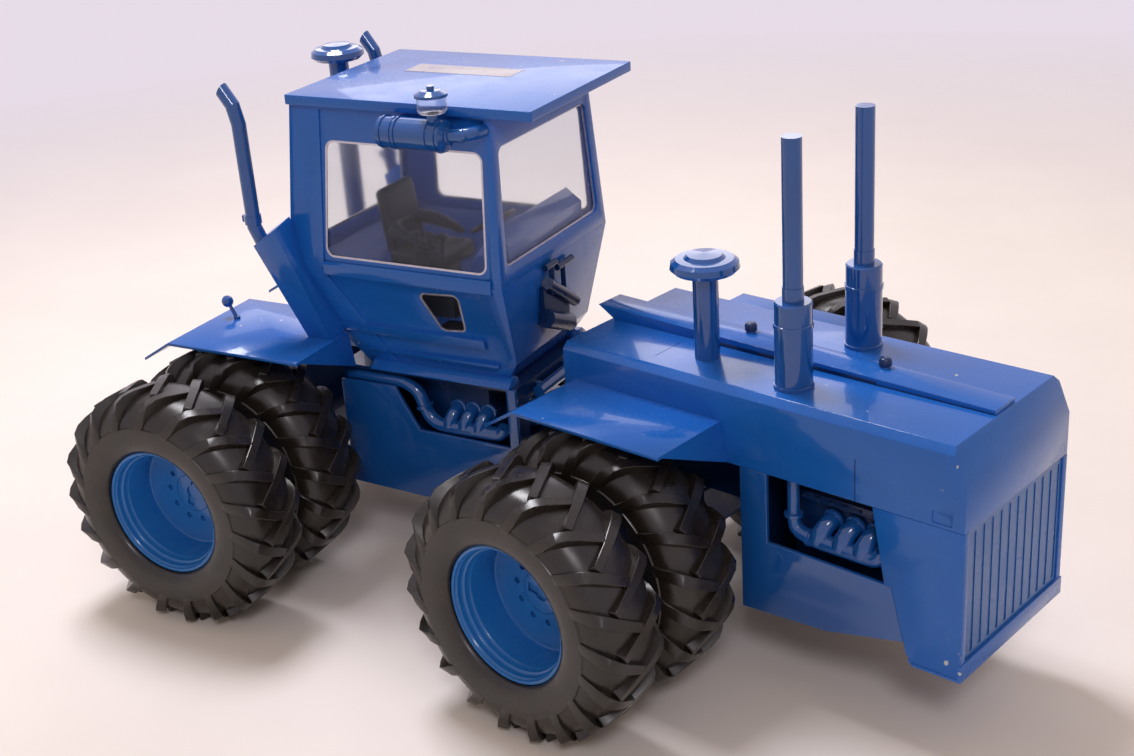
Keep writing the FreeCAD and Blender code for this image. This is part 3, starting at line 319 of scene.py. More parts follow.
def turned(profile, steps):
    """Lathe a bmesh about +Y from [(radius, y), ...]."""
    bm = bmesh.new()
    verts = [bm.verts.new((0.0, y, r)) for r, y in profile]
    edges = [bm.edges.new(pair) for pair in zip(verts, verts[1:])]
    bmesh.ops.spin(bm, geom=verts + edges, cent=(0, 0, 0), axis=(0, 1, 0), angle=2 * math.pi,
                   steps=steps, use_merge=True)
    bmesh.ops.remove_doubles(bm, verts=bm.verts, dist=0.0005)
    bmesh.ops.recalc_face_normals(bm, faces=bm.faces)
    return bm


def repeat_round(bm, geom, count):
    """Copy geometry round +Y, count times in all."""
    bmesh.ops.spin(bm, geom=geom, cent=(0, 0, 0), axis=(0, 1, 0), steps=count - 1, dvec=(0, 0, 0),
                   angle=2 * math.pi * (count - 1) / count, use_duplicate=True)


def join(target, other):
    """Add a bmesh to another and free it."""
    mesh = bpy.data.meshes.new("part")
    other.to_mesh(mesh)
    other.free()
    target.from_mesh(mesh)
    bpy.data.meshes.remove(mesh)


def curve_through(points, per_span):
    """Smooth run of points through a few given ones, so many to each span."""
    ends = [2 * points[0] - points[1]] + points + [2 * points[-1] - points[-2]]
    run = []
    for i in range(len(points) - 1):
        a, b, c, d = ends[i:i + 4]
        for k in range(per_span):
            t = k / per_span
            run.append(0.5 * (2 * b + (c - a) * t + (2 * a - 5 * b + 4 * c - d) * t ** 2
                              + (3 * b - a - 3 * c + d) * t ** 3))
    return run + [points[-1]]


def loft(loops):
    """Extrude one face through a run of closed loops that all have the same number of points."""
    bm = bmesh.new()
    corner = bm.verts.layers.int.new("corner")
    bmesh.ops.create_circle(bm, cap_ends=True, segments=len(loops[0]), radius=1.0)
    for k, vert in enumerate(bm.verts):
        vert[corner] = k
    face = list(bm.faces)[0]
    for step, loop in enumerate(loops):
        if step > 0:
            made = bmesh.ops.extrude_face_region(bm, geom=[face])["geom"]
            if step > 1:
                bmesh.ops.delete(bm, geom=[face], context="FACES_ONLY")
            face = [item for item in made if isinstance(item, bmesh.types.BMFace)][0]
        for vert in face.verts:
            vert.co = loop[vert[corner]]
    bmesh.ops.recalc_face_normals(bm, faces=bm.faces)
    return bm


def tube(points, radii, sides=18):
    """A round bar along a run of points, with one radius for each point."""
    loops = []
    across = None
    for i, place in enumerate(points):
        ahead = (points[min(i + 1, len(points) - 1)] - points[max(i - 1, 0)]).normalized()
        if across is None:
            across = ahead.orthogonal()
        across = (across - across.dot(ahead) * ahead).normalized()
        upward = ahead.cross(across)
        loop = []
        for k in range(sides):
            angle = 2 * math.pi * k / sides
            loop.append(place + radii[i] * (math.cos(angle) * across + math.sin(angle) * upward))
        loops.append(loop)
    return loft(loops)


# ---------------------------------------------------------------- tyres
# how deep each point of the carcass lies under the tread, and how far in from the tyre's side
CARCASS = [(27.1, 4.1), (26.6, 2.8), (25.0, 1.6), (22.5, 0.8), (19.5, 0.4), (16.8, 0.25),
           (14.5, 0.25), (14.1, 0.9), (12.8, 1.2), (10.4, 2.0), (8.1, 3.3), (6.2, 5.0), (4.6, 7.2),
           (3.4, 9.8), (2.7, 12.7), (2.4, 15.6), (2.3, TYRE_HALF_W)]


def carcass_line():
    """The tyre's section from the outer bead over the crown to the inner bead."""
    half = [Vector((TYRE_R - depth, inset - TYRE_HALF_W)) for depth, inset in CARCASS]
    whole = half + [Vector((p.x, -p.y)) for p in reversed(half[:-1])]
    return curve_through(whole, 2)


# a tread bar's path: run round the tyre, place across it, depth of its foot under the tread,
# height, half width of its top, lean of its height to the side, turn of its width from the run
SHORT_BAR = [(0.9, 1.7, 2.8, 2.6, 1.6, 0, -28), (0.6, 1.2, 2.8, 2.8, 1.95, 0, -28)]
LONG_BAR = [(5.2, 9.9, 3.3, 3.1, 1.5, 0, -30), (4.9, 9.3, 3.2, 3.2, 1.75, 0, -30),
            (2.6, 5.0, 2.8, 2.8, 1.8, 0, -29), (0.0, 0.0, 2.8, 2.8, 1.8, 0, -28)]
SHOULDER = [(-2.2, -4.0, 2.9, 2.9, 2.05, 0, -28), (-4.6, -8.0, 3.1, 3.05, 2.1, 2, -30),
            (-7.0, -11.6, 4.1, 3.4, 2.15, 12, -33), (-9.2, -14.2, 6.2, 3.7, 2.3, 24, -28),
            (-11.0, -15.9, 9.0, 2.5, 2.6, 40, -12), (-12.6, -17.2, 11.8, 1.2, 2.9, 58, 0),
            (-14.2, -17.9, 14.2, 0.75, 3.0, 75, 0), (-15.2, -18.3, 16.0, 0.28, 2.9, 86, 0)]
RUN_R = TYRE_R - 2.0             # the radius on which runs round the tyre are measured
BAR_FOOT = 1.3                   # a bar's width at its foot, in widths of its top
BAR_SUNK = 1.5                   # how deep a bar's foot is sunk into the carcass
RIDGE_ANGLE = 0.6                # radians; a bar's edges that turn more are softened
BAR_STAGGER = 4.2                # degrees from one side's bars to the other's


def lug(sections):
    """One tread bar, lofted through its sections from the crown over the shoulder."""
    loops = []
    for run, across, depth, height, half_w, lean, twist in sections:
        lean, twist = math.radians(lean), math.radians(twist)
        loop = []
        for share, rise in ((-BAR_FOOT, -BAR_SUNK), (-1.0, height), (1.0, height),
                            (BAR_FOOT, -BAR_SUNK)):
            radius = TYRE_R - depth + rise * math.cos(lean)
            angle = (run + share * half_w * math.cos(twist)) / RUN_R
            y = across - rise * math.sin(lean) + share * half_w * math.sin(twist)
            loop.append(Vector((radius * math.sin(angle), y, radius * math.cos(angle))))
        loops.append(loop)
    bm = loft(loops)
    ridges = [e for e in bm.edges
              if len(e.link_faces) == 2 and e.calc_face_angle() > RIDGE_ANGLE]
    bmesh.ops.bevel(bm, geom=ridges, offset=0.2, segments=1, profile=0.5, affect="EDGES",
                    material=-1, clamp_overlap=True)
    return bm


def tyre_mesh():
    """A whole lugged tyre about +Y, its outer side at -Y."""
    bm = turned([(p.x, p.y) for p in carcass_line()], ROUND_STEPS)
    one_side = lug(SHORT_BAR + SHOULDER)
    other = lug(LONG_BAR + SHOULDER)
    bmesh.ops.scale(other, vec=(1, -1, 1), verts=other.verts)
    bmesh.ops.reverse_faces(other, faces=other.faces)
    bmesh.ops.rotate(other, cent=(0, 0, 0), verts=other.verts,
                     matrix=Matrix.Rotation(math.radians(BAR_STAGGER), 3, "Y"))
    for bars in (one_side, other):
        repeat_round(bars, bars.verts[:] + bars.edges[:] + bars.faces[:], LUGS)
    join(bm, one_side)
    join(bm, other)
    return bm


# ---------------------------------------------------------------- wheels in place
CORNERS = []
for end, half, axle_x in (("front", FRONT, 0.0), ("rear", REAR, REAR_AXLE_X)):
    for side, sign in (("right", 1), ("left", -1)):
        CORNERS.append((end + "_" + side, half, axle_x, sign))


def on_corner(bm, half, axle_x, sign, y, turn):
    """Move a wheel part drawn about +Y to its corner; the left ones are mirrored."""
    bmesh.ops.rotate(bm, cent=(0, 0, 0), matrix=Matrix.Rotation(turn, 3, "Y"), verts=bm.verts)
    if sign < 0:
        bmesh.ops.scale(bm, vec=(1, -1, 1), verts=bm.verts)
        bmesh.ops.reverse_faces(bm, faces=bm.faces)
    bmesh.ops.translate(bm, vec=(axle_x, -sign * y, 0), verts=bm.verts)
    bmesh.ops.transform(bm, matrix=half, verts=bm.verts)


def make_tyres():
    """The eight tyres, no two of them standing with their bars at the same turn."""
    master = tyre_mesh()
    for place, (corner, half, axle_x, sign) in enumerate(CORNERS):
        for name, y, turn in (("tyre_outer_", OUTER_Y, 0.11), ("tyre_inner_", INNER_Y, 0.2)):
            bm = master.copy()
            on_corner(bm, half, axle_x, sign, y, turn + 0.05 * place)
            piece = finish_mesh("lugged_" + name + corner, bm, "wheel_" + corner, RUBBER, 35.0)
            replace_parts(piece, name + corner)
    master.free()


make_tyres()


# ---------------------------------------------------------------- rims
DISC_Y = 6.4                     # the disc's outer face, inward of the tyre's middle
DISC_THICK = 2.0
BOLTS = 10
BOLT_CIRCLE_R = 13.0
BOLT_HOLE_R = 1.4
BOLT_HOLE_DEPTH = 1.5
PLATE_R = 7.5                    # the round plate in the middle of the outer disc
KEY_R, KEY_HALF_LENGTH, KEY_HALF_W, KEY_DEPTH = 3.5, 7.0, 1.9, 0.95      # the plate's slot
CORE_R = 8.9                     # the hub between a corner's two rims
# from the lip to the disc: how far in from the lip's radius, and how deep behind the lip
DISH = [(0.0, 2.2), (0.0, 0.5), (0.35, 0.1), (1.0, 0.0), (1.5, 0.3), (1.75, 1.1), (2.3, 1.7),
        (2.5, 3.6), (2.9, 4.2), (3.5, 4.5), (3.75, 6.4), (4.2, 7.0), (4.5, 7.6)]
# the dish's foot, measured from the disc's face, and the ring pressed into the disc, by radius
DISH_FOOT = [(4.6, -1.6), (4.9, -0.5), (5.8, 0.0)]
PRESSED_RING = [(9.3, 0.0), (9.1, 0.35), (8.9, 0.35), (8.7, 0.0), (PLATE_R, 0.0)]


def drill_disc(bm):
    """Sink a ring of round bolt holes into the outer face of a rim's disc."""
    for k in range(BOLTS):
        middle = 2 * math.pi * (k + 0.5) / BOLTS
        centre = Vector((BOLT_CIRCLE_R * math.sin(middle), DISC_Y,
                         BOLT_CIRCLE_R * math.cos(middle)))
        patch = []
        for face in bm.faces:
            spot = face.calc_center_median()
            off_circle = math.hypot(spot.x, spot.z) - BOLT_CIRCLE_R
            turn = (math.atan2(spot.x, spot.z) - middle + math.pi) % (2 * math.pi) - math.pi
            if (abs(spot.y - DISC_Y) < 0.01 and abs(off_circle) < BOLT_HOLE_R
                    and abs(turn) * BOLT_CIRCLE_R < BOLT_HOLE_R):
                patch.append(face)
        for vert in {v for face in patch for v in face.verts}:
            if any(face not in patch for face in vert.link_faces):
                vert.co = centre + (vert.co - centre).normalized() * BOLT_HOLE_R
        sunk = bmesh.ops.extrude_face_region(bm, geom=patch)["geom"]
        bmesh.ops.delete(bm, geom=patch, context="FACES")
        corners = [v for v in sunk if isinstance(v, bmesh.types.BMVert)]
        bmesh.ops.translate(bm, vec=(0, BOLT_HOLE_DEPTH, 0), verts=corners)


def rim_mesh(drilled):
    """Deep stepped rim with its disc, centred on its tyre, outer face at -Y."""
    profile = [(LIP_R - step, LIP_Y + deep) for step, deep in DISH]
    profile += [(LIP_R - step, DISC_Y + deep) for step, deep in DISH_FOOT]
    # rings of corners across the bolt holes
    profile += [(BOLT_CIRCLE_R + BOLT_HOLE_R * (2 - k) / 2, DISC_Y) for k in range(5)]
    profile += [(radius, DISC_Y + deep) for radius, deep in PRESSED_RING]
    # the back of the disc and the barrel, out to the inner lip
    profile += [(PLATE_R, DISC_Y + DISC_THICK), (LIP_R - 4.6, DISC_Y + DISC_THICK + 0.2),
                (LIP_R - 4.1, -LIP_Y - 5.5), (LIP_R - 1.6, -LIP_Y), (LIP_R - 0.2, -LIP_Y),
                (LIP_R, -LIP_Y - 0.6), (LIP_R, LIP_Y + 2.2)]
    bm = turned(profile, ROUND_STEPS)
    if drilled:
        drill_disc(bm)
    return bm


def hub_plate():
    """Round plate in the middle of the outer disc, with its key slot."""
    bm = bmesh.new()
    turns = (0.0, 7.5, 15.2, 24.0, 33.0, 47.0, 61.0, 76.0, 90.0)     # closer at the slot's ends
    degrees = sorted({(side + sign * turn) % 360.0 for side in (0.0, 180.0) for sign in (1, -1)
                      for turn in turns})
    whole = [math.radians(value) for value in degrees]
    loops = []
    for kind in ("rim", "slot", "deep"):
        ring = bmesh.ops.create_circle(bm, cap_ends=False, segments=len(whole),
                                       radius=1.0)["verts"]
        for vert, angle in zip(ring, whole):
            c, d = abs(math.cos(angle)), abs(math.sin(angle))
            slot = max(KEY_R, min(KEY_HALF_LENGTH / max(c, 1e-6), KEY_HALF_W / max(d, 1e-6)))
            radius = PLATE_R if kind == "rim" else slot
            vert.co = (radius * math.cos(angle), DISC_Y + (KEY_DEPTH if kind == "deep" else 0.0),
                       radius * math.sin(angle))
        loops.append({e for v in ring for e in v.link_edges})
    bmesh.ops.bridge_loops(bm, edges=list(loops[0] | loops[1]))
    bmesh.ops.bridge_loops(bm, edges=list(loops[1] | loops[2]))
    bmesh.ops.contextual_create(bm, geom=list(loops[2]))
    bmesh.ops.recalc_face_normals(bm, faces=bm.faces)
    if sum(f.normal.y * f.calc_area() for f in bm.faces) > 0:
        bmesh.ops.reverse_faces(bm, faces=bm.faces)
    return bm


def make_rims():
    """Each corner's two rims and their hub, as one piece."""
    outer_rim, inner_rim, plate = rim_mesh(True), rim_mesh(False), hub_plate()
    for place, (corner, half, axle_x, sign) in enumerate(CORNERS):
        bm = bmesh.new()
        for source, y in ((outer_rim, OUTER_Y), (plate, OUTER_Y), (inner_rim, INNER_Y)):
            part = source.copy()
            on_corner(part, half, axle_x, sign, y, 0.12 + 0.9 * place)
            join(bm, part)
        gap = (OUTER_Y - INNER_Y) / 2
        near, far = DISC_Y + 2.4 - gap, DISC_Y + 2.4 + gap
        core = turned([(0, near - 1.1), (CORE_R - 1.3, near - 1.1), (CORE_R, near), (CORE_R, far),
                       (0, far)], 48)
        on_corner(core, half, axle_x, sign, (OUTER_Y + INNER_Y) / 2, 0.0)
        join(bm, core)
        piece = finish_mesh("dished_rims_" + corner, bm, "wheel_" + corner, BLUE_RIM, 30.0)
        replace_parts(piece, "rims_" + corner)
    for source in (outer_rim, inner_rim, plate):
        source.free()


make_rims()


# ---------------------------------------------------------------- sheet pieces from the frame
SOFTENED_DEG = 25.0              # a sheet piece's edges that turn more are softened
TRIM_WIDTH, TRIM_PROUD = 0.9, 0.45


def crisp_copy(node, finish, body, offset=0.25, segments=2):
    """A merged copy of a CAD node with softened edges, standing for that node."""
    bm = bmesh.new()
    bm.from_mesh(frame["nodes"][node].data)
    bmesh.ops.remove_doubles(bm, verts=bm.verts, dist=WELD)
    bmesh.ops.dissolve_limit(bm, angle_limit=math.radians(0.5), verts=bm.verts, edges=bm.edges)
    bmesh.ops.recalc_face_normals(bm, faces=bm.faces)
    sharp = [e for e in bm.edges if len(e.link_faces) == 2
             and abs(e.calc_face_angle()) > math.radians(SOFTENED_DEG)]
    bmesh.ops.bevel(bm, geom=sharp, offset=offset * MM, segments=segments, profile=0.5,
                    affect="EDGES", material=-1, clamp_overlap=True)
    piece = finish_mesh("finished_" + node, bm, body, finish)
    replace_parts(piece, node)
    return piece


for node in ("hood", "nose", "front_fenders", "hood_spine"):
    crisp_copy(node, BLUE, "front_half")
for node in ("rear_fenders", "cab_lower", "cab_frame", "roof", "exhaust_housings"):
    crisp_copy(node, BLUE, "rear_half")
# the side plates take the darker casting enamel as painted shade, under the fenders and wheels
for side in ("front", "rear"):
    crisp_copy(side + "_side_plates", BLUE_CAST_AND_SHADE, side + "_half")
crisp_copy("console", BLUE_CAST_AND_SHADE, "rear_half", offset=0.6, segments=3)


def on_half(bm, half, twin=False):
    """Move a piece drawn in a half's millimetres to its place, or to the mirrored one."""
    if twin:
        bmesh.ops.scale(bm, vec=(1, -1, 1), verts=bm.verts)
        bmesh.ops.reverse_faces(bm, faces=bm.faces)
    bmesh.ops.transform(bm, matrix=half, verts=bm.verts)


def window_trims(node):
    """Thin bright frames round the panes of a node, drawn in from the panes' own outlines."""
    bm = bmesh.new()
    bm.from_mesh(frame["nodes"][node].data)
    bmesh.ops.remove_doubles(bm, verts=bm.verts, dist=WELD)
    bmesh.ops.dissolve_limit(bm, angle_limit=math.radians(1.0), verts=bm.verts, edges=bm.edges)
    largest = max(face.calc_area() for face in bm.faces)
    middle = sum((Vector(corner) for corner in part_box("cab_frame")), Vector()) / 2
    # the panes' outer faces, without their inner faces and narrow sides
    panes = [face for face in bm.faces if face.calc_area() > 0.5 * largest
             and face.normal.dot(face.calc_center_median() - middle) > 0]
    bmesh.ops.delete(bm, geom=[face for face in bm.faces if face not in panes], context="FACES")
    border = bmesh.ops.inset_individual(bm, faces=panes, thickness=TRIM_WIDTH * MM, depth=0.0,
                                        use_even_offset=True)["faces"]
    bmesh.ops.delete(bm, geom=[face for face in bm.faces if face not in border], context="FACES")
    lifted = bmesh.ops.extrude_face_region(bm, geom=border[:])["geom"]
    outward = {}
    for face in [item for item in lifted if isinstance(item, bmesh.types.BMFace)]:
        for vert in face.verts:
            outward[vert] = face.normal.copy()
    for vert, normal in outward.items():
        vert.co += normal * TRIM_PROUD * MM
    bmesh.ops.recalc_face_normals(bm, faces=bm.faces)
    piece = finish_mesh("trim_" + node, bm, "rear_half", TRIM)


for node in PANES:
    window_trims(node)


# ---------------------------------------------------------------- castings and fittings
def slab(bm, low, high, soft, segments=2):
    """A softened block between two corners."""
    low, high = Vector(low), Vector(high)
    block = bmesh.new()
    bmesh.ops.create_cube(block, size=1.0)
    bmesh.ops.scale(block, vec=high - low, verts=block.verts)
    bmesh.ops.translate(block, vec=(low + high) / 2, verts=block.verts)
    bmesh.ops.bevel(block, geom=block.edges[:], offset=soft, segments=segments, profile=0.5,
                    affect="EDGES", material=-1)
    join(bm, block)


def path(*points):
    """A smooth run through a few points given in millimetres."""
    return curve_through([Vector(point) for point in points], 5)


def even(run, *radii):
    """Radii spread evenly along a run."""
    values = []
    for i in range(len(run)):
        share = i / (len(run) - 1) * (len(radii) - 1)
        k = min(int(share), len(radii) - 2)
        values.append(radii[k] + (radii[k + 1] - radii[k]) * (share - k))
    return values


def cast_tube(bm, run, *radii):
    """Add a round casting along a run, with radii spread evenly along it."""
    join(bm, tube(run, even(run, *radii)))


def stub(bm, place, towards, radius, length, steps, sides):
    """A short straight piece; each step is a share of its length and one of its radius."""
    place, towards = Vector(place), Vector(towards).normalized()
    run = [place + towards * length * at for at, share in steps]
    join(bm, tube(run, [radius * share for at, share in steps], sides))


def collar(bm, place, towards, radius, thick):
    """A short round collar centred on a place, with softened rims."""
    stub(bm, place, towards, radius, thick,
         [(-0.5, 0.9), (-0.42, 1.0), (0.42, 1.0), (0.5, 0.9)], 28)


def hex_bolt(bm, place, towards, size, height):
    """A hexagon head with a domed end."""
    stub(bm, place, towards, size, height, [(0.0, 1.0), (0.8, 1.0), (1.0, 0.8)], 6)


def front_manifold():
    """Cast exhaust log with its riser, flanges and three tapering runners."""
    bm = bmesh.new()
    y = -34.2
    run = path((71, y, 42), (71, y, 34), (71, y, 25.5), (72.2, y, 19.8), (77.6, y, 17.4),
               (85, y, 17), (96, y, 17), (105, y, 17), (108.5, y, 17.6), (110.4, y, 19.2),
               (111.4, y, 21.6))
    cast_tube(bm, run, 2.5, 2.5, 2.9, 3.6, 3.6, 3.6, 3.2)
    collar(bm, (71, y, 25.4), (0, 0, 1), 3.8, 1.5)
    collar(bm, (78.6, y, 17.2), (1, 0, 0), 3.7, 1.1)
    for x in (82.6, 92.7, 102.1):
        run = path((x, y, 17.4), (x + 0.9, y, 20.0), (x + 2.0, y + 1.4, 22.8),
                   (x + 3.0, y + 3.6, 24.6), (x + 3.4, y + 6.2, 25.2))
        cast_tube(bm, run, 4.1, 3.9, 3.7, 3.6)
        collar(bm, (x + 3.4, y + 5.4, 25.1), (0.1, 1, 0.2), 4.6, 1.4)
    return bm


def front_head():
    """Ledge of the cylinder head over the runners with its row of bolts."""
    bm = bmesh.new()
    slab(bm, (70.0, -31.1, 31.6), (116.0, -28.1, 35.2), 0.5)
    for k in range(7):
        hex_bolt(bm, (74.0 + 6.3 * k, -31.0, 33.4), (0, -1, 0), 0.9, 0.9)
    return bm


def rear_manifold():
    """The rear engine's log, its bends and three runners."""
    bm = bmesh.new()
    y = -32.0
    run = path((-87.9, y, 35.8), (-75, y, 35.8), (-62, y, 35.6), (-56.4, y, 34.9),
               (-50.6, y, 31.4), (-47.8, y, 25.6), (-45.2, y, 20.2), (-40.8, y, 17.0),
               (-35.0, y, 16.2), (-20, y, 16.2), (-10, y, 16.3), (-6.6, y, 17.6), (-5.0, y, 20.4))
    cast_tube(bm, run, 2.8, 3.0, 3.0, 3.2, 3.4, 3.4, 3.0)
    collar(bm, (-47.5, y, 24.9), (0.33, 0, -0.94), 4.2, 1.6)
    for x in (-34.5, -26.4, -18.3):
        run = path((x, y, 16.6), (x + 0.6, y + 0.4, 19.2), (x + 1.2, y + 2.2, 22.0),
                   (x + 1.6, y + 4.6, 23.4), (x + 1.7, y + 6.8, 23.8))
        cast_tube(bm, run, 3.7, 3.4, 3.2, 3.2)
        collar(bm, (x + 1.7, y + 6.0, 23.7), (0, 1, 0), 4.0, 1.4)
    return bm


def make_castings():
    """The manifolds and the front head's ledges, each drawn once and mirrored."""
    for name, body, half, source, finish, node in (
            ("cast_front_manifold", "front_half", FRONT, front_manifold(), BLUE_CAST_AND_SHADE,
             "front_manifolds"),
            ("cast_rear_manifold", "rear_half", REAR, rear_manifold(), BLUE_CAST_AND_SHADE,
             "rear_manifolds"),
            # the head ledge takes the dark enamel as painted shade, deep in the engine opening
            ("front_cylinder_head", "front_half", FRONT, front_head(), BLUE_DARK_AND_SHADE, None)):
        bm = source.copy()
        on_half(bm, half)
        on_half(source, half, True)
        join(bm, source)
        bmesh.ops.recalc_face_normals(bm, faces=bm.faces)
        piece = finish_mesh(name, bm, body, finish)
        if node:
            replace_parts(piece, node)


make_castings()


GRILLE_STRIPS = 11
GRILLE_PITCHES = 11.2            # the grille's width, in pitches of its grooves
FIRST_STRIP = 0.8                # the first strip's middle, in pitches from the grille's side
STRIP_HALF_W = 0.145             # in pitches
STRIP_END = 2.1                  # from a strip's end to the grille's


def make_grille_strips():
    """Finely ribbed strips set into the grooves of the grille."""
    low, high = front_box("grille")
    pitch = 2 * high.y / GRILLE_PITCHES
    bm = bmesh.new()
    for k in range(GRILLE_STRIPS):
        y = low.y + pitch * (k + FIRST_STRIP)
        slab(bm, (high.x - 0.88, y - pitch * STRIP_HALF_W, low.z + STRIP_END),
             (high.x - 0.3, y + pitch * STRIP_HALF_W, high.z - STRIP_END), 0.1)
    on_half(bm, FRONT)
    finish_mesh("grille_strips", bm, "front_half", BLUE_RIBBED)


def make_roof_patch():
    """A pale rubbed patch on the cab roof, specked with the paint that is left."""
    top = (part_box("roof")[1].z - AXLE_Z) / MM
    bm = bmesh.new()
    slab(bm, (-66.0, 6.0, top - 0.2), (-11.0, 20.0, top + 0.12), 0.08)
    on_half(bm, REAR)
    finish_mesh("roof_bare_patch", bm, "rear_half", BARE_PATCH)


# the spine stands on the bonnet's top, and falls towards the nose
SPINE_LOW, SPINE_HIGH = front_box("hood_spine")
BONNET_TOP = SPINE_LOW.z
SPINE_REAR_H, SPINE_FALL = 5.0, 3.1
SPINE_SIDE_Y = 7.3
SIDE_SEAM_X = 102.3
SEAM_AND_SHADOW_SOFT = 0.04


def make_bonnet_seams_and_spine_shadow():
    """Fine dark lines: joints down the bonnet's sides and across its right half, and painted shadow
    along its spine.
    """
    low, high = front_box("hood")
    side = (high.y - low.y) / 2
    seams_and_shadow = bmesh.new()
    for mirror in (1, -1):
        edge, foot = mirror * side, mirror * SPINE_SIDE_Y
        slab(seams_and_shadow, (SIDE_SEAM_X, edge - 0.2, low.z + 0.2),
             (SIDE_SEAM_X + 0.25, edge + 0.05, low.z + 17.5), SEAM_AND_SHADOW_SOFT)
        # painted shadow at each foot of the spine, where its lip overhangs the bonnet
        slab(seams_and_shadow, (10.0, foot - 0.2, BONNET_TOP), (91.0, foot + 0.2, BONNET_TOP + 1.5),
             SEAM_AND_SHADOW_SOFT)
        slab(seams_and_shadow, (91.0, foot - 0.15, BONNET_TOP), (141.0, foot + 0.15, BONNET_TOP + 0.5),
             SEAM_AND_SHADOW_SOFT)
    slab(seams_and_shadow, (0.9, -30.0, BONNET_TOP - 0.1), (1.2, -12.0, BONNET_TOP + 0.04), 0.03)
    on_half(seams_and_shadow, FRONT)
    finish_mesh("bonnet_seams_and_spine_shadow", seams_and_shadow, "front_half", BLUE_DARK_AND_SHADE)


def make_filler_knobs():
    """Dark knobs of the two fillers on the sloping top of the bonnet's spine."""
    bm = bmesh.new()
    for x in (24.3, 88.0):
        share = (x - SPINE_LOW.x) / (SPINE_HIGH.x - SPINE_LOW.x)
        spine_top = BONNET_TOP + SPINE_REAR_H - SPINE_FALL * share
        run = [Vector((x, 4.4, spine_top + at)) for at in (0.6, 0.9, 3.1, 3.9, 4.1)]
        join(bm, tube(run, [2.3, 2.6, 2.6, 2.0, 1.2], 24))
    on_half(bm, FRONT)
    finish_mesh("filler_knobs", bm, "front_half", BLUE_DARK_AND_SHADE)


def make_air_cleaner_bands():
    """The air cleaner's clamping bands, and the elbow from its front end towards the cab."""
    bm = bmesh.new()
    for at in (2.0, 9.0, 24.5, 29.0):
        collar(bm, (-39.7 + at, -52.3, 161.3), (1, 0, 0), 7.25, 0.9)
    run = path((-8.6, -52.3, 161.3), (-4.0, -52.3, 161.7), (-0.5, -52.0, 162.1),
               (2.6, -49.3, 162.3), (3.8, -45.6, 162.3), (4.0, -43.0, 162.3))
    cast_tube(bm, run, 3.0, 3.0)
    collar(bm, (-6.6, -52.3, 161.5), (1, 0, 0.1), 3.7, 1.3)
    on_half(bm, REAR)
    finish_mesh("air_cleaner_bands", bm, "rear_half", BLUE_CAST_AND_SHADE)


def make_seat():
    """Padded seat: pedestal, cushion, leaning back and a roll wrapped round the sides."""
    x, z = -72.0, 71.0           # its rear, and the floor under its pedestal
    bm = bmesh.new()
    slab(bm, (x + 8, -8, z), (x + 26, 8, z + 14.5), 1.0)
    slab(bm, (x + 1, -14.6, z + 13.5), (x + 31.5, 14.6, z + 22), 3.4, 5)
    rest = bmesh.new()
    slab(rest, (-3.0, -13.0, 0.0), (3.0, 13.0, 31.0), 2.8, 5)
    bmesh.ops.rotate(rest, cent=(0, 0, 0), matrix=Matrix.Rotation(math.radians(-8), 3, "Y"),
                     verts=rest.verts)
    bmesh.ops.translate(rest, vec=(x + 2.0, 0, z + 19.0), verts=rest.verts)
    join(bm, rest)
    half = [(x + 25.0, 13.6, z + 24.5), (x + 16.0, 14.2, z + 27.5), (x + 7.0, 13.0, z + 30.0),
            (x + 1.5, 8.0, z + 31.5)]
    run = path(*[(a, -b, c) for a, b, c in half], (x + 0.2, 0.0, z + 32.0), *reversed(half))
    join(bm, tube(run, even(run, 1.6, 3.0, 3.4, 3.4, 3.4, 3.0, 1.6), 16))
    on_half(bm, REAR)
    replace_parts(finish_mesh("padded_seat", bm, "rear_half", VINYL), "seat")


make_bonnet_seams_and_spine_shadow()
make_filler_knobs()
make_air_cleaner_bands()
make_seat()
make_grille_strips()
make_roof_patch()


def dress_rest():
    """Give every CAD node that still shows its finish, smooth where it is round."""
    special = {}
    for finish, names in (
            (GLASS, PANES), (BOWL, ["precleaner_bowl"]), (BLUE_RIBBED, ["grille"]),
            (STEEL, ["pivot_pin", "ram_rod_right", "ram_rod_left"]),
            (VINYL, ["steering_wheel", "levers"]),
            # the engines, frames, axles and valve unit take the dark enamel as painted shade
            (BLUE_DARK_AND_SHADE, ["front_engine", "rear_engine", "front_frame", "rear_frame",
                         "front_axle", "rear_axle", "valve_unit"])):
        special.update({name: finish for name in names})
    for name, node in frame["nodes"].items():
        node.data.materials.clear()
        node.data.materials.append(special.get(name, BLUE_CAST_AND_SHADE))
        shade(node.data, 32.0)


dress_rest()


# ---------------------------------------------------------------- floor, light, camera
CLOTH_SIZE = 6.0
FADE_FROM, FADE_TO = 0.55, 1.25  # metres from the object's middle over which the cloth fades


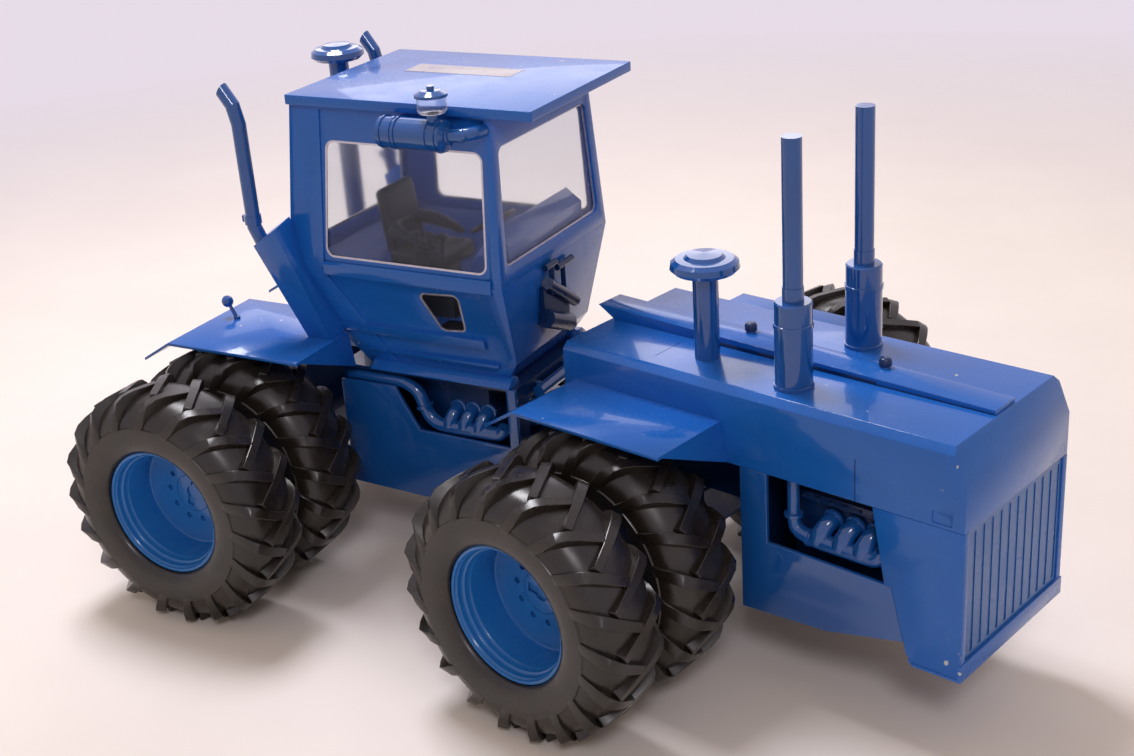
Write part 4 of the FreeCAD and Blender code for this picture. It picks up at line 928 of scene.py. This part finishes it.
def make_stage():
    """A pale cloth that fades into the even background."""
    bm = bmesh.new()
    bmesh.ops.create_grid(bm, x_segments=1, y_segments=1, size=CLOTH_SIZE)
    mesh = bpy.data.meshes.new("floor")
    bm.to_mesh(mesh)
    bm.free()
    floor = bpy.data.objects.new("floor", mesh)
    bpy.context.scene.collection.objects.link(floor)
    made, nodes, links, shader = material("Pale table cloth", 0.85)
    coords = nodes.new("ShaderNodeTexCoord").outputs["Object"]
    tone = ramp(nodes, links, noise(nodes, links, coords, 6.0, 4.0), 0.3, 0.7)
    links.new(mix(nodes, links, tone, (0.86, 0.80, 0.80), (0.92, 0.86, 0.86)),
              shader.inputs["Base Color"])
    reach = nodes.new("ShaderNodeVectorMath")
    reach.operation = "LENGTH"
    links.new(coords, reach.inputs[0])
    links.new(ramp(nodes, links, reach.outputs["Value"], FADE_FROM, FADE_TO, 1.0, 0.0),
              shader.inputs["Alpha"])
    mesh.materials.append(made)


SEEN_ROOM, SEEN_STRENGTH = (0.80, 0.72, 0.81, 1.0), 1.0        # what is seen, and mirrored
LIT_ROOM, LIT_STRENGTH = (0.93, 0.75, 0.56, 1.0), 0.46         # what lights the object
LAMPS_AIM = Vector((0, 0, 0.08))
# each lamp's name, place, size, power and tint
LAMPS = (("Key panel", (-0.38, 0.10, 1.2), 0.4, 10.5, (0.97, 0.96, 1.0)),
         ("Back panel", (-1.05, 1.15, 0.95), 0.9, 3.4, (0.97, 0.95, 1.0)),
         ("Fill panel", (0.95, -0.95, 1.2), 0.35, 5.6, (0.98, 0.95, 0.97)))


def make_light():
    """An even room, paler where it is seen than where it lights, and three soft lamps."""
    world = bpy.data.worlds.new("Soft room")
    bpy.context.scene.world = world
    world.use_nodes = True
    nodes, links = world.node_tree.nodes, world.node_tree.links
    nodes.clear()
    rays = nodes.new("ShaderNodeLightPath").outputs
    direct = maths(nodes, links, "MAXIMUM", rays["Is Camera Ray"], rays["Is Glossy Ray"])
    blend = nodes.new("ShaderNodeMixShader")
    links.new(maths(nodes, links, "MAXIMUM", direct, rays["Is Transmission Ray"]),
              blend.inputs[0])
    for slot, colour, strength in ((1, LIT_ROOM, LIT_STRENGTH), (2, SEEN_ROOM, SEEN_STRENGTH)):
        room = nodes.new("ShaderNodeBackground")
        room.inputs["Color"].default_value = colour
        room.inputs["Strength"].default_value = strength
        links.new(room.outputs[0], blend.inputs[slot])
    out = nodes.new("ShaderNodeOutputWorld")
    links.new(blend.outputs[0], out.inputs["Surface"])
    for name, place, size, power, tint in LAMPS:
        lamp = bpy.data.lights.new(name, "AREA")
        lamp.size = size
        lamp.energy = power
        lamp.color = tint
        holder = bpy.data.objects.new(name, lamp)
        holder.location = place
        holder.visible_camera = False
        holder.visible_transmission = False
        holder.rotation_euler = (LAMPS_AIM - Vector(place)).to_track_quat("-Z", "Y").to_euler()
        bpy.context.scene.collection.objects.link(holder)


CAMERA_TURNS = (42.948, 23.254, -3.970)          # degrees round, up and rolled
CAMERA_PLACE = (396.935, -509.050, 334.541)      # in the front half's millimetres
CAMERA_LENS = 52.30


def make_camera():
    """Raised three-quarter view from the front right, slightly rolled."""
    azimuth, elevation, roll = (math.radians(turn) for turn in CAMERA_TURNS)
    back = Vector((math.sin(azimuth) * math.cos(elevation),
                   -math.cos(azimuth) * math.cos(elevation), math.sin(elevation)))
    level = Vector((math.cos(azimuth), math.sin(azimuth), 0.0))
    upright = back.cross(level)
    across = math.cos(roll) * level + math.sin(roll) * upright
    above = -math.sin(roll) * level + math.cos(roll) * upright
    lens = bpy.data.cameras.new("Camera")
    lens.lens = CAMERA_LENS
    lens.sensor_width = 36.0
    lens.clip_start = 0.01
    camera = bpy.data.objects.new("Camera", lens)
    place = FRONT @ Vector(CAMERA_PLACE)
    turn = Matrix((across, above, back)).transposed()
    camera.matrix_world = Matrix.Translation(place) @ turn.to_4x4()
    bpy.context.scene.collection.objects.link(camera)
    bpy.context.scene.camera = camera


make_stage()
make_light()
make_camera()
bpy.context.scene.view_settings.view_transform = "Standard"
